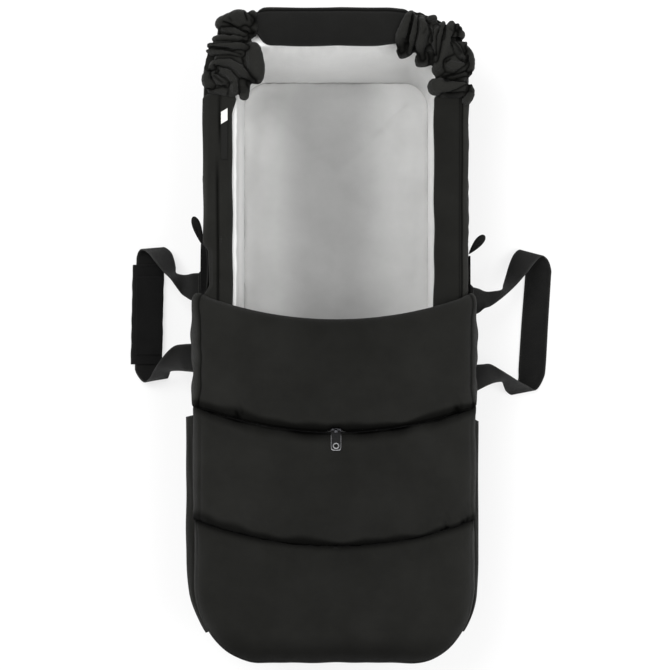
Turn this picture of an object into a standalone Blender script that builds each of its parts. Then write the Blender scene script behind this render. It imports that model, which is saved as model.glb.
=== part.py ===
"""A soft baby nest: a fabric tub with a padded rim, a quilted foot apron and two carry handles.

Metres, +Z up. The origin is on the floor under the middle of the tub, +Y points to the head end.
"""

import math

import bmesh
import bpy
import numpy as np

# Tub, outside
tub_half_width = 0.1575
tub_head_end = 0.388
tub_foot_end = -0.385
tub_height = 0.166
wall_bulge = 0.003
wall_bulge_height = 0.095
base_taper_side = 0.0055
base_taper_head = 0.032
base_taper_foot = 0.007
head_corner_radius = 0.075
foot_corner_radius = 0.082
corner_steps = 6

# Cavity, the inner face of the lining
cavity_half_width = 0.121
cavity_base_half_width = 0.116
cavity_head_end = 0.344
cavity_base_head_end = 0.314
cavity_foot_end = -0.350
cavity_base_foot_end = -0.345
cavity_corner_radius = 0.045

# Layers
gap = 0.0003
fabric = 0.0018
base_fabric = 0.0022
board_thickness = 0.003
lining_fabric = 0.0012
mattress_top = 0.033
mattress_cover_fabric = 0.0016
mattress_side_clearance = 0.001
mattress_crown = 0.004

# Rim rolls, band and scrunched corners
rim_roll_height = 0.0157
rim_roll_width = 0.038
rim_split_y = -0.070
rim_head_y = 0.268
band_left_x = -0.092
band_right_x = 0.077
band_depth = 0.046
band_height = 0.0215
scrunch_radius = 0.0295
scrunch_flatness = 0.68
scrunch_taper = 0.32
scrunch_channel_radius = 0.009
scrunch_left_folds = 4
scrunch_right_folds = 5
elastic_width = 0.012
elastic_thickness = 0.002

# Apron
apron_side_clearance = 0.0047
apron_foot_clearance = 0.0055
apron_rise = 0.0085
apron_skirt_drop = 0.046
flap_skirt_drop = 0.031
apron_shoulder_radius = 0.020
foot_section_length = 0.1419
mid_section_length = 0.1346
flap_length = 0.1310
puff_height = 0.012
fill_share = 0.55
fill_side_step = 0.012
fill_top_step = 0.028
seam_radius = 0.455
sewn_gap = 0.0008

# Cross zip and its slider
zip_gap = 0.0016
bead_width = 0.0024
bead_thickness = 0.0024
tape_width = 0.0102
tape_thickness = 0.0010
zip_lip = 0.0056
zip_half_angle = 16.5
slider_plate = 0.0010
slider_length = 0.0120
slider_width = 0.0090
slider_clearance = 0.0004
bridge_width = 0.0034
bridge_tunnel = 0.0026
bridge_wall = 0.0013
puller_wire = 0.0010
puller_thickness = 0.0014
puller_neck = 0.0062
bridge_side_gap = 0.0014
puller_width = 0.0125
puller_length = 0.0262
puller_corner_radius = 0.0042
puller_hole_radius = 0.0021
puller_rest_angle = 27.0

# Side zips and their guards
side_zip_head_margin = 0.014
side_zip_foot_margin = 0.0905
side_zip_drop = 0.010
side_tape_width = 0.006
side_tape_drop = 0.015
side_slider_length = 0.011
side_slider_height = 0.009
side_slider_plate = 0.0008
side_tab_width = 0.0045
side_tab_drop = 0.026
guard_reach = {"left": 0.0150, "right": 0.0080}
guard_turn = 40.0

# Handles
webbing_width = 0.035
webbing_thickness = 0.0018
strap_folds = 3
handle_drop = 0.0555
hinge_clearance = 0.0012
grip_z = {"left": 0.0056, "right": 0.0022}
ear_radius = 0.0135
strap_head_y = {"left": 0.107, "right": 0.0955}
strap_foot_y = -0.089
handle_reach = {"left": 0.238, "right": 0.250}
handle_hinge_head_y = {"left": 0.058, "right": 0.041}
handle_hinge_foot_y = {"left": -0.028, "right": -0.054}
handle_ear_head_y = {"left": 0.109, "right": 0.108}
handle_ear_foot_y = {"left": -0.060, "right": -0.076}
wrap_width = 0.043
wrap_thickness = 0.0100
leaf_width = 0.037
leaf_thickness = 0.0018

# Pull tabs and label
tab_length = {"left": 0.032, "right": 0.027}
tab_half_width = 0.0055
tab_height = 0.014
tab_drop = 0.056
tab_root_y = {"left": 0.112, "right": 0.099}
tab_turn = {"left": 75.0, "right": 52.0}
label_width = 0.0075
label_length = 0.056
label_side_inset = 0.0223
label_head_margin = 0.006
label_thickness = 0.0006

# Worked out from the sizes above
apron_half_width = tub_half_width + wall_bulge + apron_side_clearance
apron_foot_end = tub_foot_end - apron_foot_clearance
apron_foot_radius = foot_corner_radius + apron_foot_clearance
apron_valley = tub_height + apron_rise
apron_skirt_z = tub_height - apron_skirt_drop
flap_skirt_z = tub_height - flap_skirt_drop
foot_seam_y = apron_foot_end + foot_section_length
cross_seam_y = foot_seam_y + mid_section_length
top_edge_y = cross_seam_y + flap_length
side_zip_head_y = cross_seam_y + side_zip_head_margin
side_zip_foot_y = apron_foot_end + side_zip_foot_margin
side_bead_z = apron_skirt_z - side_zip_drop
handle_pivot_z = tub_height - handle_drop
tab_z = tub_height - tab_drop
label_x = label_side_inset - tub_half_width
label_head_y = rim_head_y - label_head_margin
wall_top = tub_height - rim_roll_height
base_top = base_fabric + gap
board_top = base_top + board_thickness
lining_bottom = board_top + gap
lining_floor = lining_bottom + lining_fabric
lining_z = tub_height + gap
fill_bottom = lining_z + lining_fabric + gap
zip_z = fill_bottom + slider_plate + slider_clearance + bead_thickness / 2
slider_top = zip_z + bead_thickness / 2 + slider_clearance + slider_plate
arc_centre_y = cross_seam_y + seam_radius
wall_face_x = tub_half_width + wall_bulge + gap
strap_stack = strap_folds * webbing_thickness
handle_pivot_x = wall_face_x + strap_stack + hinge_clearance + webbing_thickness / 2


# Materials


def linear(channel):
    """One sRGB channel from 0 to 1, as linear light."""
    return channel / 12.92 if channel <= 0.04045 else ((channel + 0.055) / 1.055) ** 2.4


def finish(name, colour, roughness, metallic=0.0):
    """A Principled material from an sRGB hex colour."""
    made = bpy.data.materials.new(name)
    made.use_nodes = True
    shader = made.node_tree.nodes["Principled BSDF"]
    rgb = [linear(int(colour[i : i + 2], 16) / 255) for i in (0, 2, 4)]
    shader.inputs["Base Color"].default_value = (*rgb, 1.0)
    shader.inputs["Roughness"].default_value = roughness
    shader.inputs["Metallic"].default_value = metallic
    made.diffuse_color = (*rgb, 1.0)
    return made


# Solids from loops of points


def add_object(name, bm, material, smooth_angle=40.0):
    """Link a bmesh as a named object with outward faces and its own material."""
    bmesh.ops.recalc_face_normals(bm, faces=bm.faces[:])
    mesh = bpy.data.meshes.new(name)
    bm.to_mesh(mesh)
    bm.free()
    mesh.shade_smooth()
    mesh.set_sharp_from_angle(angle=math.radians(smooth_angle))
    mesh.materials.append(material)
    made = bpy.data.objects.new(name, mesh)
    bpy.context.scene.collection.objects.link(made)
    return made


def loft(name, loops, material, ring=False):
    """A closed solid through closed loops: capped at both ends, or a ring that meets itself."""
    bm = bmesh.new()
    rows = [[bm.verts.new(point) for point in loop] for loop in loops]
    pairs = list(zip(rows, rows[1:]))
    if ring:
        pairs.append((rows[-1], rows[0]))
    else:
        bm.faces.new(rows[0])
        bm.faces.new(rows[-1])
    for near, far in pairs:
        for i in range(len(near)):
            j = (i + 1) % len(near)
            bm.faces.new((near[i], near[j], far[j], far[i]))
    return add_object(name, bm, material)


def plate(name, outline, low, high, material):
    """A plan outline extruded from one height to another."""
    return loft(name, [[(x, y, z) for x, y in outline] for z in (low, high)], material)


def prism_along_y(name, section, low, high, material):
    """An (x, z) section extruded along Y."""
    return loft(name, [[(x, y, z) for x, z in section] for y in (low, high)], material)


def shell(name, rows, thickness, material, close_last=False):
    """A cloth shell: an open grid of points that faces up and out, thickened inwards.

    close_last joins the two arms of the last row, a U, across its middle.
    """
    bm = bmesh.new()
    grid = [[bm.verts.new(point) for point in row] for row in rows]
    for near, far in zip(grid, grid[1:]):
        for i in range(len(near) - 1):
            bm.faces.new((near[i], near[i + 1], far[i + 1], far[i]))
    if close_last:
        last = grid[-1]
        for i in range(len(last) // 2 - 1):
            bm.faces.new((last[i], last[i + 1], last[-2 - i], last[-1 - i]))
        middle = len(last) // 2
        bm.faces.new((last[middle - 1], last[middle], last[middle + 1]))
    bm.normal_update()
    if sum(face.normal.z * face.calc_area() for face in bm.faces) < 0:
        bmesh.ops.reverse_faces(bm, faces=bm.faces[:])
    mesh = bpy.data.meshes.new(name)
    bm.to_mesh(mesh)
    bm.free()
    mesh.shade_smooth()
    mesh.materials.append(material)
    made = bpy.data.objects.new(name, mesh)
    bpy.context.scene.collection.objects.link(made)
    thicken = made.modifiers.new("Cloth", "SOLIDIFY")
    thicken.thickness = thickness
    thicken.offset = -1.0
    return made


def put_away(helper, target):
    """Keep a helper solid out of the part, and let it move with its target."""
    helper.parent = target
    helper.hide_render = True
    helper.display_type = "WIRE"


def join(target, helper):
    """Unite a helper solid with its target."""
    unite = target.modifiers.new("Unite", "BOOLEAN")
    unite.operation = "UNION"
    unite.object = helper
    put_away(helper, target)


def cut(target, helper):
    """Cut a helper solid out of its target."""
    take = target.modifiers.new("Cut", "BOOLEAN")
    take.operation = "DIFFERENCE"
    take.object = helper
    put_away(helper, target)


# Plan outlines


def arc_points(x, y, radius, start, end, steps):
    """Points along an arc, its angles in degrees."""
    angles = np.radians(np.linspace(start, end, steps + 1))
    return [(x + radius * math.cos(a), y + radius * math.sin(a)) for a in angles]


def rounded_plan(half, head, foot, head_radius, foot_radius):
    """A closed plan outline with rounded corners, counter-clockwise from the right head corner."""
    head_radius = max(head_radius, 0.002)
    foot_radius = max(foot_radius, 0.002)
    corners = (
        (half - head_radius, head - head_radius, head_radius, 0),
        (head_radius - half, head - head_radius, head_radius, 90),
        (foot_radius - half, foot + foot_radius, foot_radius, 180),
        (half - foot_radius, foot + foot_radius, foot_radius, 270),
    )
    points = []
    for x, y, radius, start in corners:
        points += arc_points(x, y, radius, start, start + 90, corner_steps)
    return points


def tub_plan(z, inset=0.0):
    """The tub's outside at height z, moved inwards by inset."""
    levels = (0.0, wall_bulge_height, tub_height)
    half = np.interp(
        z, levels, (tub_half_width - base_taper_side, tub_half_width + wall_bulge, tub_half_width)
    )
    rise = min(z / wall_bulge_height, 1.0)
    head = tub_head_end - base_taper_head * (1 - rise)
    foot = tub_foot_end + base_taper_foot * (1 - rise)
    return rounded_plan(
        half - inset, head - inset, foot + inset, head_corner_radius - inset, foot_corner_radius - inset
    )


def cavity_plan(z, inset=0.0):
    """The lining's inner face at height z, moved towards the middle by inset."""
    share = np.clip((z - lining_floor) / (tub_height - lining_floor), 0.0, 1.0)
    half = cavity_base_half_width + share * (cavity_half_width - cavity_base_half_width)
    head = cavity_base_head_end + share * (cavity_head_end - cavity_base_head_end)
    foot = cavity_base_foot_end + share * (cavity_foot_end - cavity_base_foot_end)
    radius = cavity_corner_radius - inset
    return rounded_plan(half - inset, head - inset, foot + inset, radius, radius)


def at_height(plan, z):
    return [(x, y, z) for x, y in plan]


def sag(x):
    """How far a curved seam has moved towards the head at x."""
    return seam_radius - math.sqrt(seam_radius**2 - x**2)


# Tub


def make_tub(black, heavy, grey, mattress_grey, foam, board):
    """Base, walls, lining and mattress, from the outside in."""
    plate("outer_base", tub_plan(0.0, gap), 0.0, base_fabric, heavy)
    plate("base_board", tub_plan(base_top, fabric + 2 * gap), base_top, board_top, board)

    levels = (base_top, wall_bulge_height, wall_top - gap)
    outside = [at_height(tub_plan(z), z) for z in levels]
    inside = [at_height(tub_plan(z, fabric), z) for z in reversed(levels)]
    loft("outer_wall", outside + inside, black, ring=True)

    foam_levels = (board_top + gap, wall_bulge_height, wall_top - gap)
    outside = [at_height(tub_plan(z, fabric + gap), z) for z in foam_levels]
    inner_face = -(lining_fabric + gap)
    inside = [at_height(cavity_plan(z, inner_face), z) for z in reversed(foam_levels)]
    loft("wall_padding", outside + inside, foam, ring=True)

    top = wall_top - gap
    loft(
        "lining",
        [
            at_height(cavity_plan(lining_bottom, -lining_fabric), lining_bottom),
            at_height(cavity_plan(top, -lining_fabric), top),
            at_height(cavity_plan(top), top),
            at_height(cavity_plan(lining_floor), lining_floor),
        ],
        grey,
    )
    make_mattress(mattress_grey, foam)


def make_mattress(cover_finish, foam):
    """A foam pad under a fitted cloth cover with a soft upper edge."""
    low = lining_floor + gap
    inner_top = mattress_top - mattress_cover_fabric
    inner_side = mattress_side_clearance + mattress_cover_fabric
    crowned = mattress_side_clearance + mattress_crown
    loft(
        "mattress_cover",
        [
            at_height(cavity_plan(low, inner_side + mattress_crown / 2), inner_top),
            at_height(cavity_plan(low, inner_side), inner_top - mattress_crown),
            at_height(cavity_plan(low, inner_side), low),
            at_height(cavity_plan(low, mattress_side_clearance), low),
            at_height(cavity_plan(low, mattress_side_clearance), mattress_top - mattress_crown),
            at_height(cavity_plan(low, crowned), mattress_top),
        ],
        cover_finish,
    )
    foam_side = inner_side + gap
    foam_top = inner_top - mattress_crown - gap
    plate("mattress_foam", cavity_plan(low, foam_side), low, foam_top, foam)


# Rim


def roll_section():
    """The rim roll's D section: (distance in from the tub's side, height)."""
    low, high = wall_top, tub_height
    width, height = rim_roll_width, high - low
    shape = (
        (0.00, 0.00), (1.00, 0.00), (1.00, 0.35), (0.95, 0.72),
        (0.80, 0.95), (0.50, 1.00), (0.20, 0.95), (0.05, 0.72), (0.00, 0.35),
    )
    return [(a * width, low + b * height) for a, b in shape]


def make_rim(black):
    """Padded rolls on the side walls, and one round the foot end."""
    section = roll_section()
    for side, sign in (("left", -1), ("right", 1)):
        profile = [(sign * (tub_half_width - inset), z) for inset, z in section]
        prism_along_y(f"rim_{side}", profile, rim_split_y + gap, rim_head_y, black)
    first_foot_point = 2 * (corner_steps + 1)
    runs = []
    for inset, z in section:
        plan = tub_plan(tub_height, inset)[first_foot_point:]
        ends = [(plan[0][0], rim_split_y)], [(plan[-1][0], rim_split_y)]
        runs.append([(x, y, z) for x, y in ends[0] + plan + ends[1]])
    loft("rim_foot", list(zip(*runs)), black)


def make_head_band(black):
    """The flattened padded tube across the head rim, pinched at both ends."""
    centre_y = tub_head_end + 0.002 - band_depth / 2
    centre_z = wall_top + band_height / 2
    sections = []
    for share in (0.0, 0.06, 0.18, 0.5, 0.82, 0.94, 1.0):
        x = band_left_x + share * (band_right_x - band_left_x)
        edge = min(share, 1 - share)
        depth = band_depth / 2 * (0.84 + 0.16 * min(edge / 0.15, 1.0))
        section = []
        for step in range(14):
            angle = 2 * math.pi * (step + 0.5) / 14
            across = math.copysign(abs(math.cos(angle)) ** 0.6, math.cos(angle))
            up = math.copysign(abs(math.sin(angle)) ** 0.7, math.sin(angle))
            section.append((x, centre_y + depth * across, centre_z + band_height / 2 * up))
        sections.append(section)
    loft("head_band", sections, black)


# Scrunched corners


def smooth_path(points, steps):
    """Points on a Catmull-Rom curve through the given points, which may have any number of columns."""
    knots = np.array(points, float)
    padded = np.vstack((2 * knots[0] - knots[1], knots, 2 * knots[-1] - knots[-2]))
    found = []
    for i in range(1, len(padded) - 2):
        a, b, c, d = padded[i - 1 : i + 3]
        for t in np.arange(steps) / steps:
            found.append(
                0.5 * (2 * b + (c - a) * t + (2 * a - 5 * b + 4 * c - d) * t**2
                       + (3 * b - a - 3 * c + d) * t**3)
            )
    found.append(knots[-1])
    return np.array(found)


def corner_path(sign, end_x, steps):
    """The middle line of a scrunched corner, from the side rim round to the head band."""
    x = tub_half_width - rim_roll_width / 2
    head_y = tub_head_end + 0.002 - band_depth / 2
    turn = head_corner_radius
    span = x - abs(end_x)
    points = (
        (sign * x, rim_head_y + 3 * gap),
        (sign * x, rim_head_y + 0.11 * turn),
        (sign * (x - 0.04 * turn), rim_head_y + 0.32 * turn),
        (sign * (x - 0.12 * turn), head_y - 0.64 * turn),
        (sign * (x - 0.22 * turn), head_y - 0.32 * turn),
        (sign * (x - 0.50 * span), head_y - 0.09 * turn),
        (end_x + sign * 0.26 * span, head_y),
        (end_x + sign * 0.13 * span, head_y),
        (end_x, head_y),
    )
    return smooth_path(points, steps)


def make_scrunched_corner(name, sign, end_x, folds, black, elastic):
    """A sleeve gathered on an elastic strap: a hollow tube whose radius swells between its folds."""
    path = corner_path(sign, end_x, 5)
    count = len(path)
    tangents = np.gradient(path, axis=0)
    tangents /= np.linalg.norm(tangents, axis=1)[:, None]
    centre_z = wall_top + 0.8 * scrunch_flatness * scrunch_radius
    loops = []
    around = 12
    for k in range(around):
        angle = 2 * math.pi * k / around
        outer, inner = [], []
        for i, ((x, y), (tx, ty)) in enumerate(zip(path, tangents)):
            share = i / (count - 1)
            swell = 0.78 + 0.22 * abs(math.sin(math.pi * folds * share)) ** 0.7
            reach = scrunch_radius * swell * (1 - scrunch_taper * share**2.5)
            side, up = reach * math.cos(angle), scrunch_flatness * reach * math.sin(angle)
            outer.append((x + ty * side, y - tx * side, max(centre_z + up, wall_top)))
            side = scrunch_channel_radius * math.cos(angle)
            up = 0.6 * scrunch_channel_radius * math.sin(angle)
            inner.append((x + ty * side, y - tx * side, centre_z + up))
        loops.append(outer + inner[::-1])
    loft(name, loops, black, ring=True)

    strap = []
    for (x, y), (tx, ty) in zip(path[1:-1:2], tangents[1:-1:2]):
        w, t = elastic_width / 2, elastic_thickness / 2
        corners = ((-w, -t), (w, -t), (w, t), (-w, t))
        strap.append([(x + ty * a, y - tx * a, centre_z + b) for a, b in corners])
    loft(name + "_elastic", strap, elastic)


# Apron


def apron_arch(skirt_z, puff):
    """One cross section of the apron from the right skirt over the top to the left skirt."""
    half, radius = apron_half_width, apron_shoulder_radius
    right = [(half, skirt_z), (half, 0.5 * (skirt_z + apron_valley - radius))]
    for step in range(5):
        angle = math.radians(90 * step / 4)
        lift = puff * math.sin(angle)
        right.append(
            (half - radius + radius * math.cos(angle), apron_valley - radius + radius * math.sin(angle) + lift)
        )
    flat = half - radius
    middle = [(flat * (1 - 2 * step / 8), apron_valley + puff) for step in range(1, 8)]
    left = [(-x, z) for x, z in reversed(right)]
    return right + middle + left


def puffed(share, ends=2):
    """Swell of a quilted section across its length: nothing at a sewn end, full in the middle."""
    if ends == 2:
        return math.sin(math.pi * share) ** 0.6
    return math.sin(math.pi * 0.62 * share) ** 0.6


def make_mid_cover(black):
    """The quilted cover between the foot seam and the cross zip."""
    rows = []
    for share in (0.0, 0.05, 0.14, 0.30, 0.50, 0.70, 0.86, 0.95, 1.0):
        row = []
        for x, z in apron_arch(apron_skirt_z, puff_height * puffed(share)):
            low = foot_seam_y + sag(x) + sewn_gap / 2
            high = cross_seam_y + sag(x) - zip_lip
            row.append((x, low + share * (high - low), z))
        rows.append(row)
    return shell("apron_mid_cover", rows, fabric, black)


def make_flap_cover(black):
    """The quilted cover of the upper flap, rolled over at its free, hollow edge."""
    rows = []
    edge_z = fill_bottom + 0.001
    for share, drop in (
        (0.0, 0), (0.05, 0), (0.14, 0), (0.30, 0), (0.50, 0), (0.72, 0),
        (0.90, 0.04), (0.97, 0.22), (1.0, 0.55), (1.0, 1.0),
    ):
        row = []
        for x, z in apron_arch(flap_skirt_z, puff_height * puffed(share, ends=1)):
            low = cross_seam_y + sag(x) + zip_lip
            high = top_edge_y + sag(x)
            lowered = z - drop * max(z - edge_z, 0.0)
            row.append((x, low + share * (high - low), lowered))
        rows.append(row)
    return shell("flap_cover", rows, fabric, black)


def foot_ring(share, z):
    """A U-shaped run from the foot seam round the foot end and back; share moves it to the middle."""
    half = apron_half_width * (1 - 0.97 * share)
    length = foot_seam_y - apron_foot_end
    foot = apron_foot_end + 0.90 * share * length
    radius = apron_foot_radius * (1 - share) + 0.003
    seam_y = foot_seam_y + sag(half) - sewn_gap / 2
    straight = [(-half, seam_y + t * (foot + radius - seam_y)) for t in (0.0, 0.3, 0.65)]
    left = straight + arc_points(radius - half, foot + radius, radius, 180, 270, corner_steps)
    bottom = [(0.0, foot)]
    run = left + bottom + [(-x, y) for x, y in reversed(left)]
    return [(x, y, z(x, y)) for x, y in run]


def make_foot_cover(black):
    """The quilted cover round the foot end: a bowl with a skirt, closed along its middle."""

    def top(x, y):
        share = (foot_seam_y + sag(x) - y) / (foot_seam_y - apron_foot_end)
        return apron_valley + puff_height * puffed(min(max(share, 0.0), 1.0))

    def at(height):
        return lambda x, y: height

    radius = apron_shoulder_radius
    shoulder_z = apron_valley - radius
    rows = [foot_ring(0.0, at(apron_skirt_z)), foot_ring(0.0, at(0.5 * (apron_skirt_z + shoulder_z)))]
    for angle in (0, 24, 48, 70):
        angle = math.radians(angle)
        share = radius * (1 - math.cos(angle)) / apron_half_width

        def lifted(x, y, angle=angle):
            return shoulder_z + (radius + top(x, y) - apron_valley) * math.sin(angle)

        rows.append(foot_ring(share, lifted))
    rows += [foot_ring(share, top) for share in (0.16, 0.30, 0.46, 0.62, 0.80, 1.0)]
    return shell("apron_foot_cover", rows, fabric, black, close_last=True)


def make_fill(name, low, high, half, crown, foam, rounded_foot=False):
    """Wadding under a cover: a pillow whose outline draws in as it rises."""
    loops = []
    shoulder = crown - 0.3 * (crown - fill_bottom)
    steps = ((0.0, fill_bottom), (0.0, 0.5 * (fill_bottom + shoulder)))
    for inset, z in steps + ((fill_side_step, shoulder), (fill_top_step, crown)):
        across = np.linspace(-(half - inset), half - inset, 9)
        head = [(x, high(x) - inset, z) for x in reversed(across)]
        if rounded_foot:
            plan = rounded_plan(half - inset, 0.0, low(0.0) + inset, 0.01, apron_foot_radius - inset)
            foot = [(x, y, z) for x, y in plan[2 * (corner_steps + 1):]]
        else:
            foot = [(x, low(x) + inset, z) for x in across]
        loops.append(foot + head)
    return loft(name, loops, foam)


def lining_inset():
    """How far inside the apron's side its inner cloth ends, where it meets the shoulder's inside."""
    rise = lining_z + lining_fabric - (apron_valley - apron_shoulder_radius)
    run = math.sqrt(apron_shoulder_radius**2 - rise**2)
    return apron_shoulder_radius - run + 2 * fabric


def make_lining_sheet(name, low, high, inset, grey, rounded_foot=False):
    """The apron's flat inner cloth."""
    half = apron_half_width - inset
    across = np.linspace(-half, half, 11)
    head = [(x, high(x)) for x in reversed(across)]
    if rounded_foot:
        plan = rounded_plan(half, 0.0, low(0.0), 0.01, apron_foot_radius - inset)
        foot = plan[2 * (corner_steps + 1):]
    else:
        foot = [(x, low(x)) for x in across]
    return plate(name, foot + head, lining_z, lining_z + lining_fabric, grey)


def make_lower_apron(black, foam, grey):
    """Middle and foot sections of the apron."""
    inset = lining_inset()
    fill_half = apron_half_width - apron_shoulder_radius
    fill_crown = apron_valley + fill_share * puff_height - fabric

    def foot_end(x):
        return apron_foot_end + inset

    def foot_fill_low(x):
        return apron_foot_end + apron_shoulder_radius * 0.7

    def cross_low(x):
        return cross_seam_y + sag(x) - zip_gap / 2 - 0.001

    def mid_fill_high(x):
        return cross_seam_y + sag(x) - zip_gap / 2 - tape_width - 0.004

    def seam_up(x):
        return foot_seam_y + sag(x) + 0.003

    def seam_down(x):
        return foot_seam_y + sag(x) - 0.003

    return [
        make_mid_cover(black),
        make_foot_cover(black),
        make_fill("apron_mid_fill", seam_up, mid_fill_high, fill_half, fill_crown, foam),
        make_fill("apron_foot_fill", foot_fill_low, seam_down, fill_half, fill_crown, foam, True),
        make_lining_sheet("apron_lining", foot_end, cross_low, inset, grey, True),
    ]


def make_flap(black, foam, grey):
    """The upper flap that folds back over the lower apron."""
    fill_half = apron_half_width - apron_shoulder_radius
    fill_crown = apron_valley + fill_share * puff_height - fabric

    def fill_low(x):
        return cross_seam_y + sag(x) + zip_gap / 2 + tape_width + 0.004

    def fill_high(x):
        return top_edge_y + sag(x) - 0.008

    def sheet_low(x):
        return cross_seam_y + sag(x) + zip_gap / 2 + tape_width + 0.0015

    def sheet_high(x):
        return top_edge_y + sag(x) - 0.003

    return [
        make_flap_cover(black),
        make_fill("flap_fill", fill_low, fill_high, fill_half, fill_crown, foam),
        make_lining_sheet("flap_lining", sheet_low, sheet_high, lining_inset(), grey),
    ]


# Zips


def bead_section(outward, edge, middle_z):
    """A zip row in section: a flat tape that ends in a round bead. edge is the bead's free side."""
    t, b = tape_thickness / 2, bead_thickness / 2
    w = bead_width
    shape = ((0, -b / 2), (w * 0.3, -b), (w * 0.8, -b), (w, -t), (tape_width, -t),
             (tape_width, t), (w, t), (w * 0.8, b), (w * 0.3, b), (0, b / 2))
    return [(edge + outward * a, middle_z + z) for a, z in shape]


def make_cross_zip(black):
    """Both rows of the curved zip, as arcs about one centre."""
    made = []
    for name, outward in (("cross_zip_head_row", -1), ("cross_zip_foot_row", 1)):
        section = bead_section(outward, seam_radius + outward * zip_gap / 2, zip_z)
        loops = []
        for angle in np.radians(np.linspace(-zip_half_angle, zip_half_angle, 23)):
            loops.append(
                [(r * math.sin(angle), arc_centre_y - r * math.cos(angle), z) for r, z in section]
            )
        made.append(loft(name, loops, black))
    return made


def make_cross_slider(metal):
    """Two plates joined by a web between the rows, with a bridge for the pull tab."""
    y = cross_seam_y
    half, web = slider_width / 2, zip_gap / 2 - slider_clearance
    low = zip_z - bead_thickness / 2 - slider_clearance
    high = zip_z + bead_thickness / 2 + slider_clearance
    profile = [
        (-half, low - slider_plate), (half, low - slider_plate), (half, low), (web, low),
        (web, high), (half, high), (half, slider_top), (-half, slider_top),
        (-half, high), (-web, high), (-web, low), (-half, low),
    ]
    nose = slider_length / 2
    body = loft(
        "cross_slider",
        [[(x, y + a * grow, z) for a, z in profile] for x, grow in
         ((-nose, 0.62), (-nose * 0.5, 1.0), (nose * 0.4, 1.0), (nose, 0.75))],
        metal,
    )
    inner = bridge_tunnel / 2
    outer = inner + bridge_wall
    foot = slider_top - slider_plate * 0.4
    crown = slider_top + bridge_tunnel
    arch = [
        (-outer, foot), (-outer, crown), (-inner, crown + bridge_wall), (inner, crown + bridge_wall),
        (outer, crown), (outer, foot), (inner, foot), (inner, crown), (-inner, crown), (-inner, foot),
    ]
    ends = (-bridge_width / 2, bridge_width / 2)
    bridge = loft("bridge_helper", [[(x, y + a, z) for a, z in arch] for x in ends], metal)
    join(body, bridge)
    return body, slider_top + bridge_tunnel / 2


def make_cross_puller(metal, pivot_z):
    """A flat pull tab with a round end and an eye, on a thin bar through the bridge."""
    half, thick = puller_width / 2, puller_thickness / 2
    outline = puller_plan(half, bridge_width / 2 + bridge_side_gap)
    frame = loft("cross_puller", [[(x, -y, z) for x, y in outline] for z in (-thick, thick)], metal)
    eye_y = 0.0060 - puller_length
    eye = arc_points(0, eye_y, puller_hole_radius, 0, 360, 14)[:-1]
    cut(frame, loft("eye_helper", [[(x, y, z) for x, y in eye] for z in (-2 * thick, 2 * thick)], metal))
    reach = bridge_width / 2 + bridge_side_gap + puller_wire
    wire = arc_points(0, 0, puller_wire / 2, 0, 360, 8)[:-1]
    join(frame, loft("bar_helper", [[(x, a, b) for a, b in wire] for x in (-reach, reach)], metal))
    frame.location = (0.0, cross_seam_y, pivot_z)
    return frame


def puller_plan(half, window):
    """The pull tab in plan: two arms that hold the bar at y = 0, and a round end at positive y."""
    arm = window + 2.2 * puller_wire
    back = -puller_wire
    corner = puller_corner_radius
    left = [(-window, back), (-arm, back), (-arm, puller_neck - 0.002), (-half, puller_neck + 0.001)]
    left += arc_points(corner - half, puller_length - corner, corner, 180, 100, 5)
    right = [(-x, y) for x, y in reversed(left)]
    return left + right + [(window, puller_neck), (-window, puller_neck)]


def side_outline(sign, head_y, turn, offset):
    """The apron's side in plan from head_y to the foot corner and part of the way round it."""
    radius = apron_foot_radius + offset
    corner_y = apron_foot_end + apron_foot_radius
    points = [(apron_half_width + offset, head_y), (apron_half_width + offset, corner_y)]
    arc = arc_points(apron_half_width - apron_foot_radius, corner_y, radius, 0, -turn, 4)
    return [(sign * x, y) for x, y in points + arc[1:]]


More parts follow.
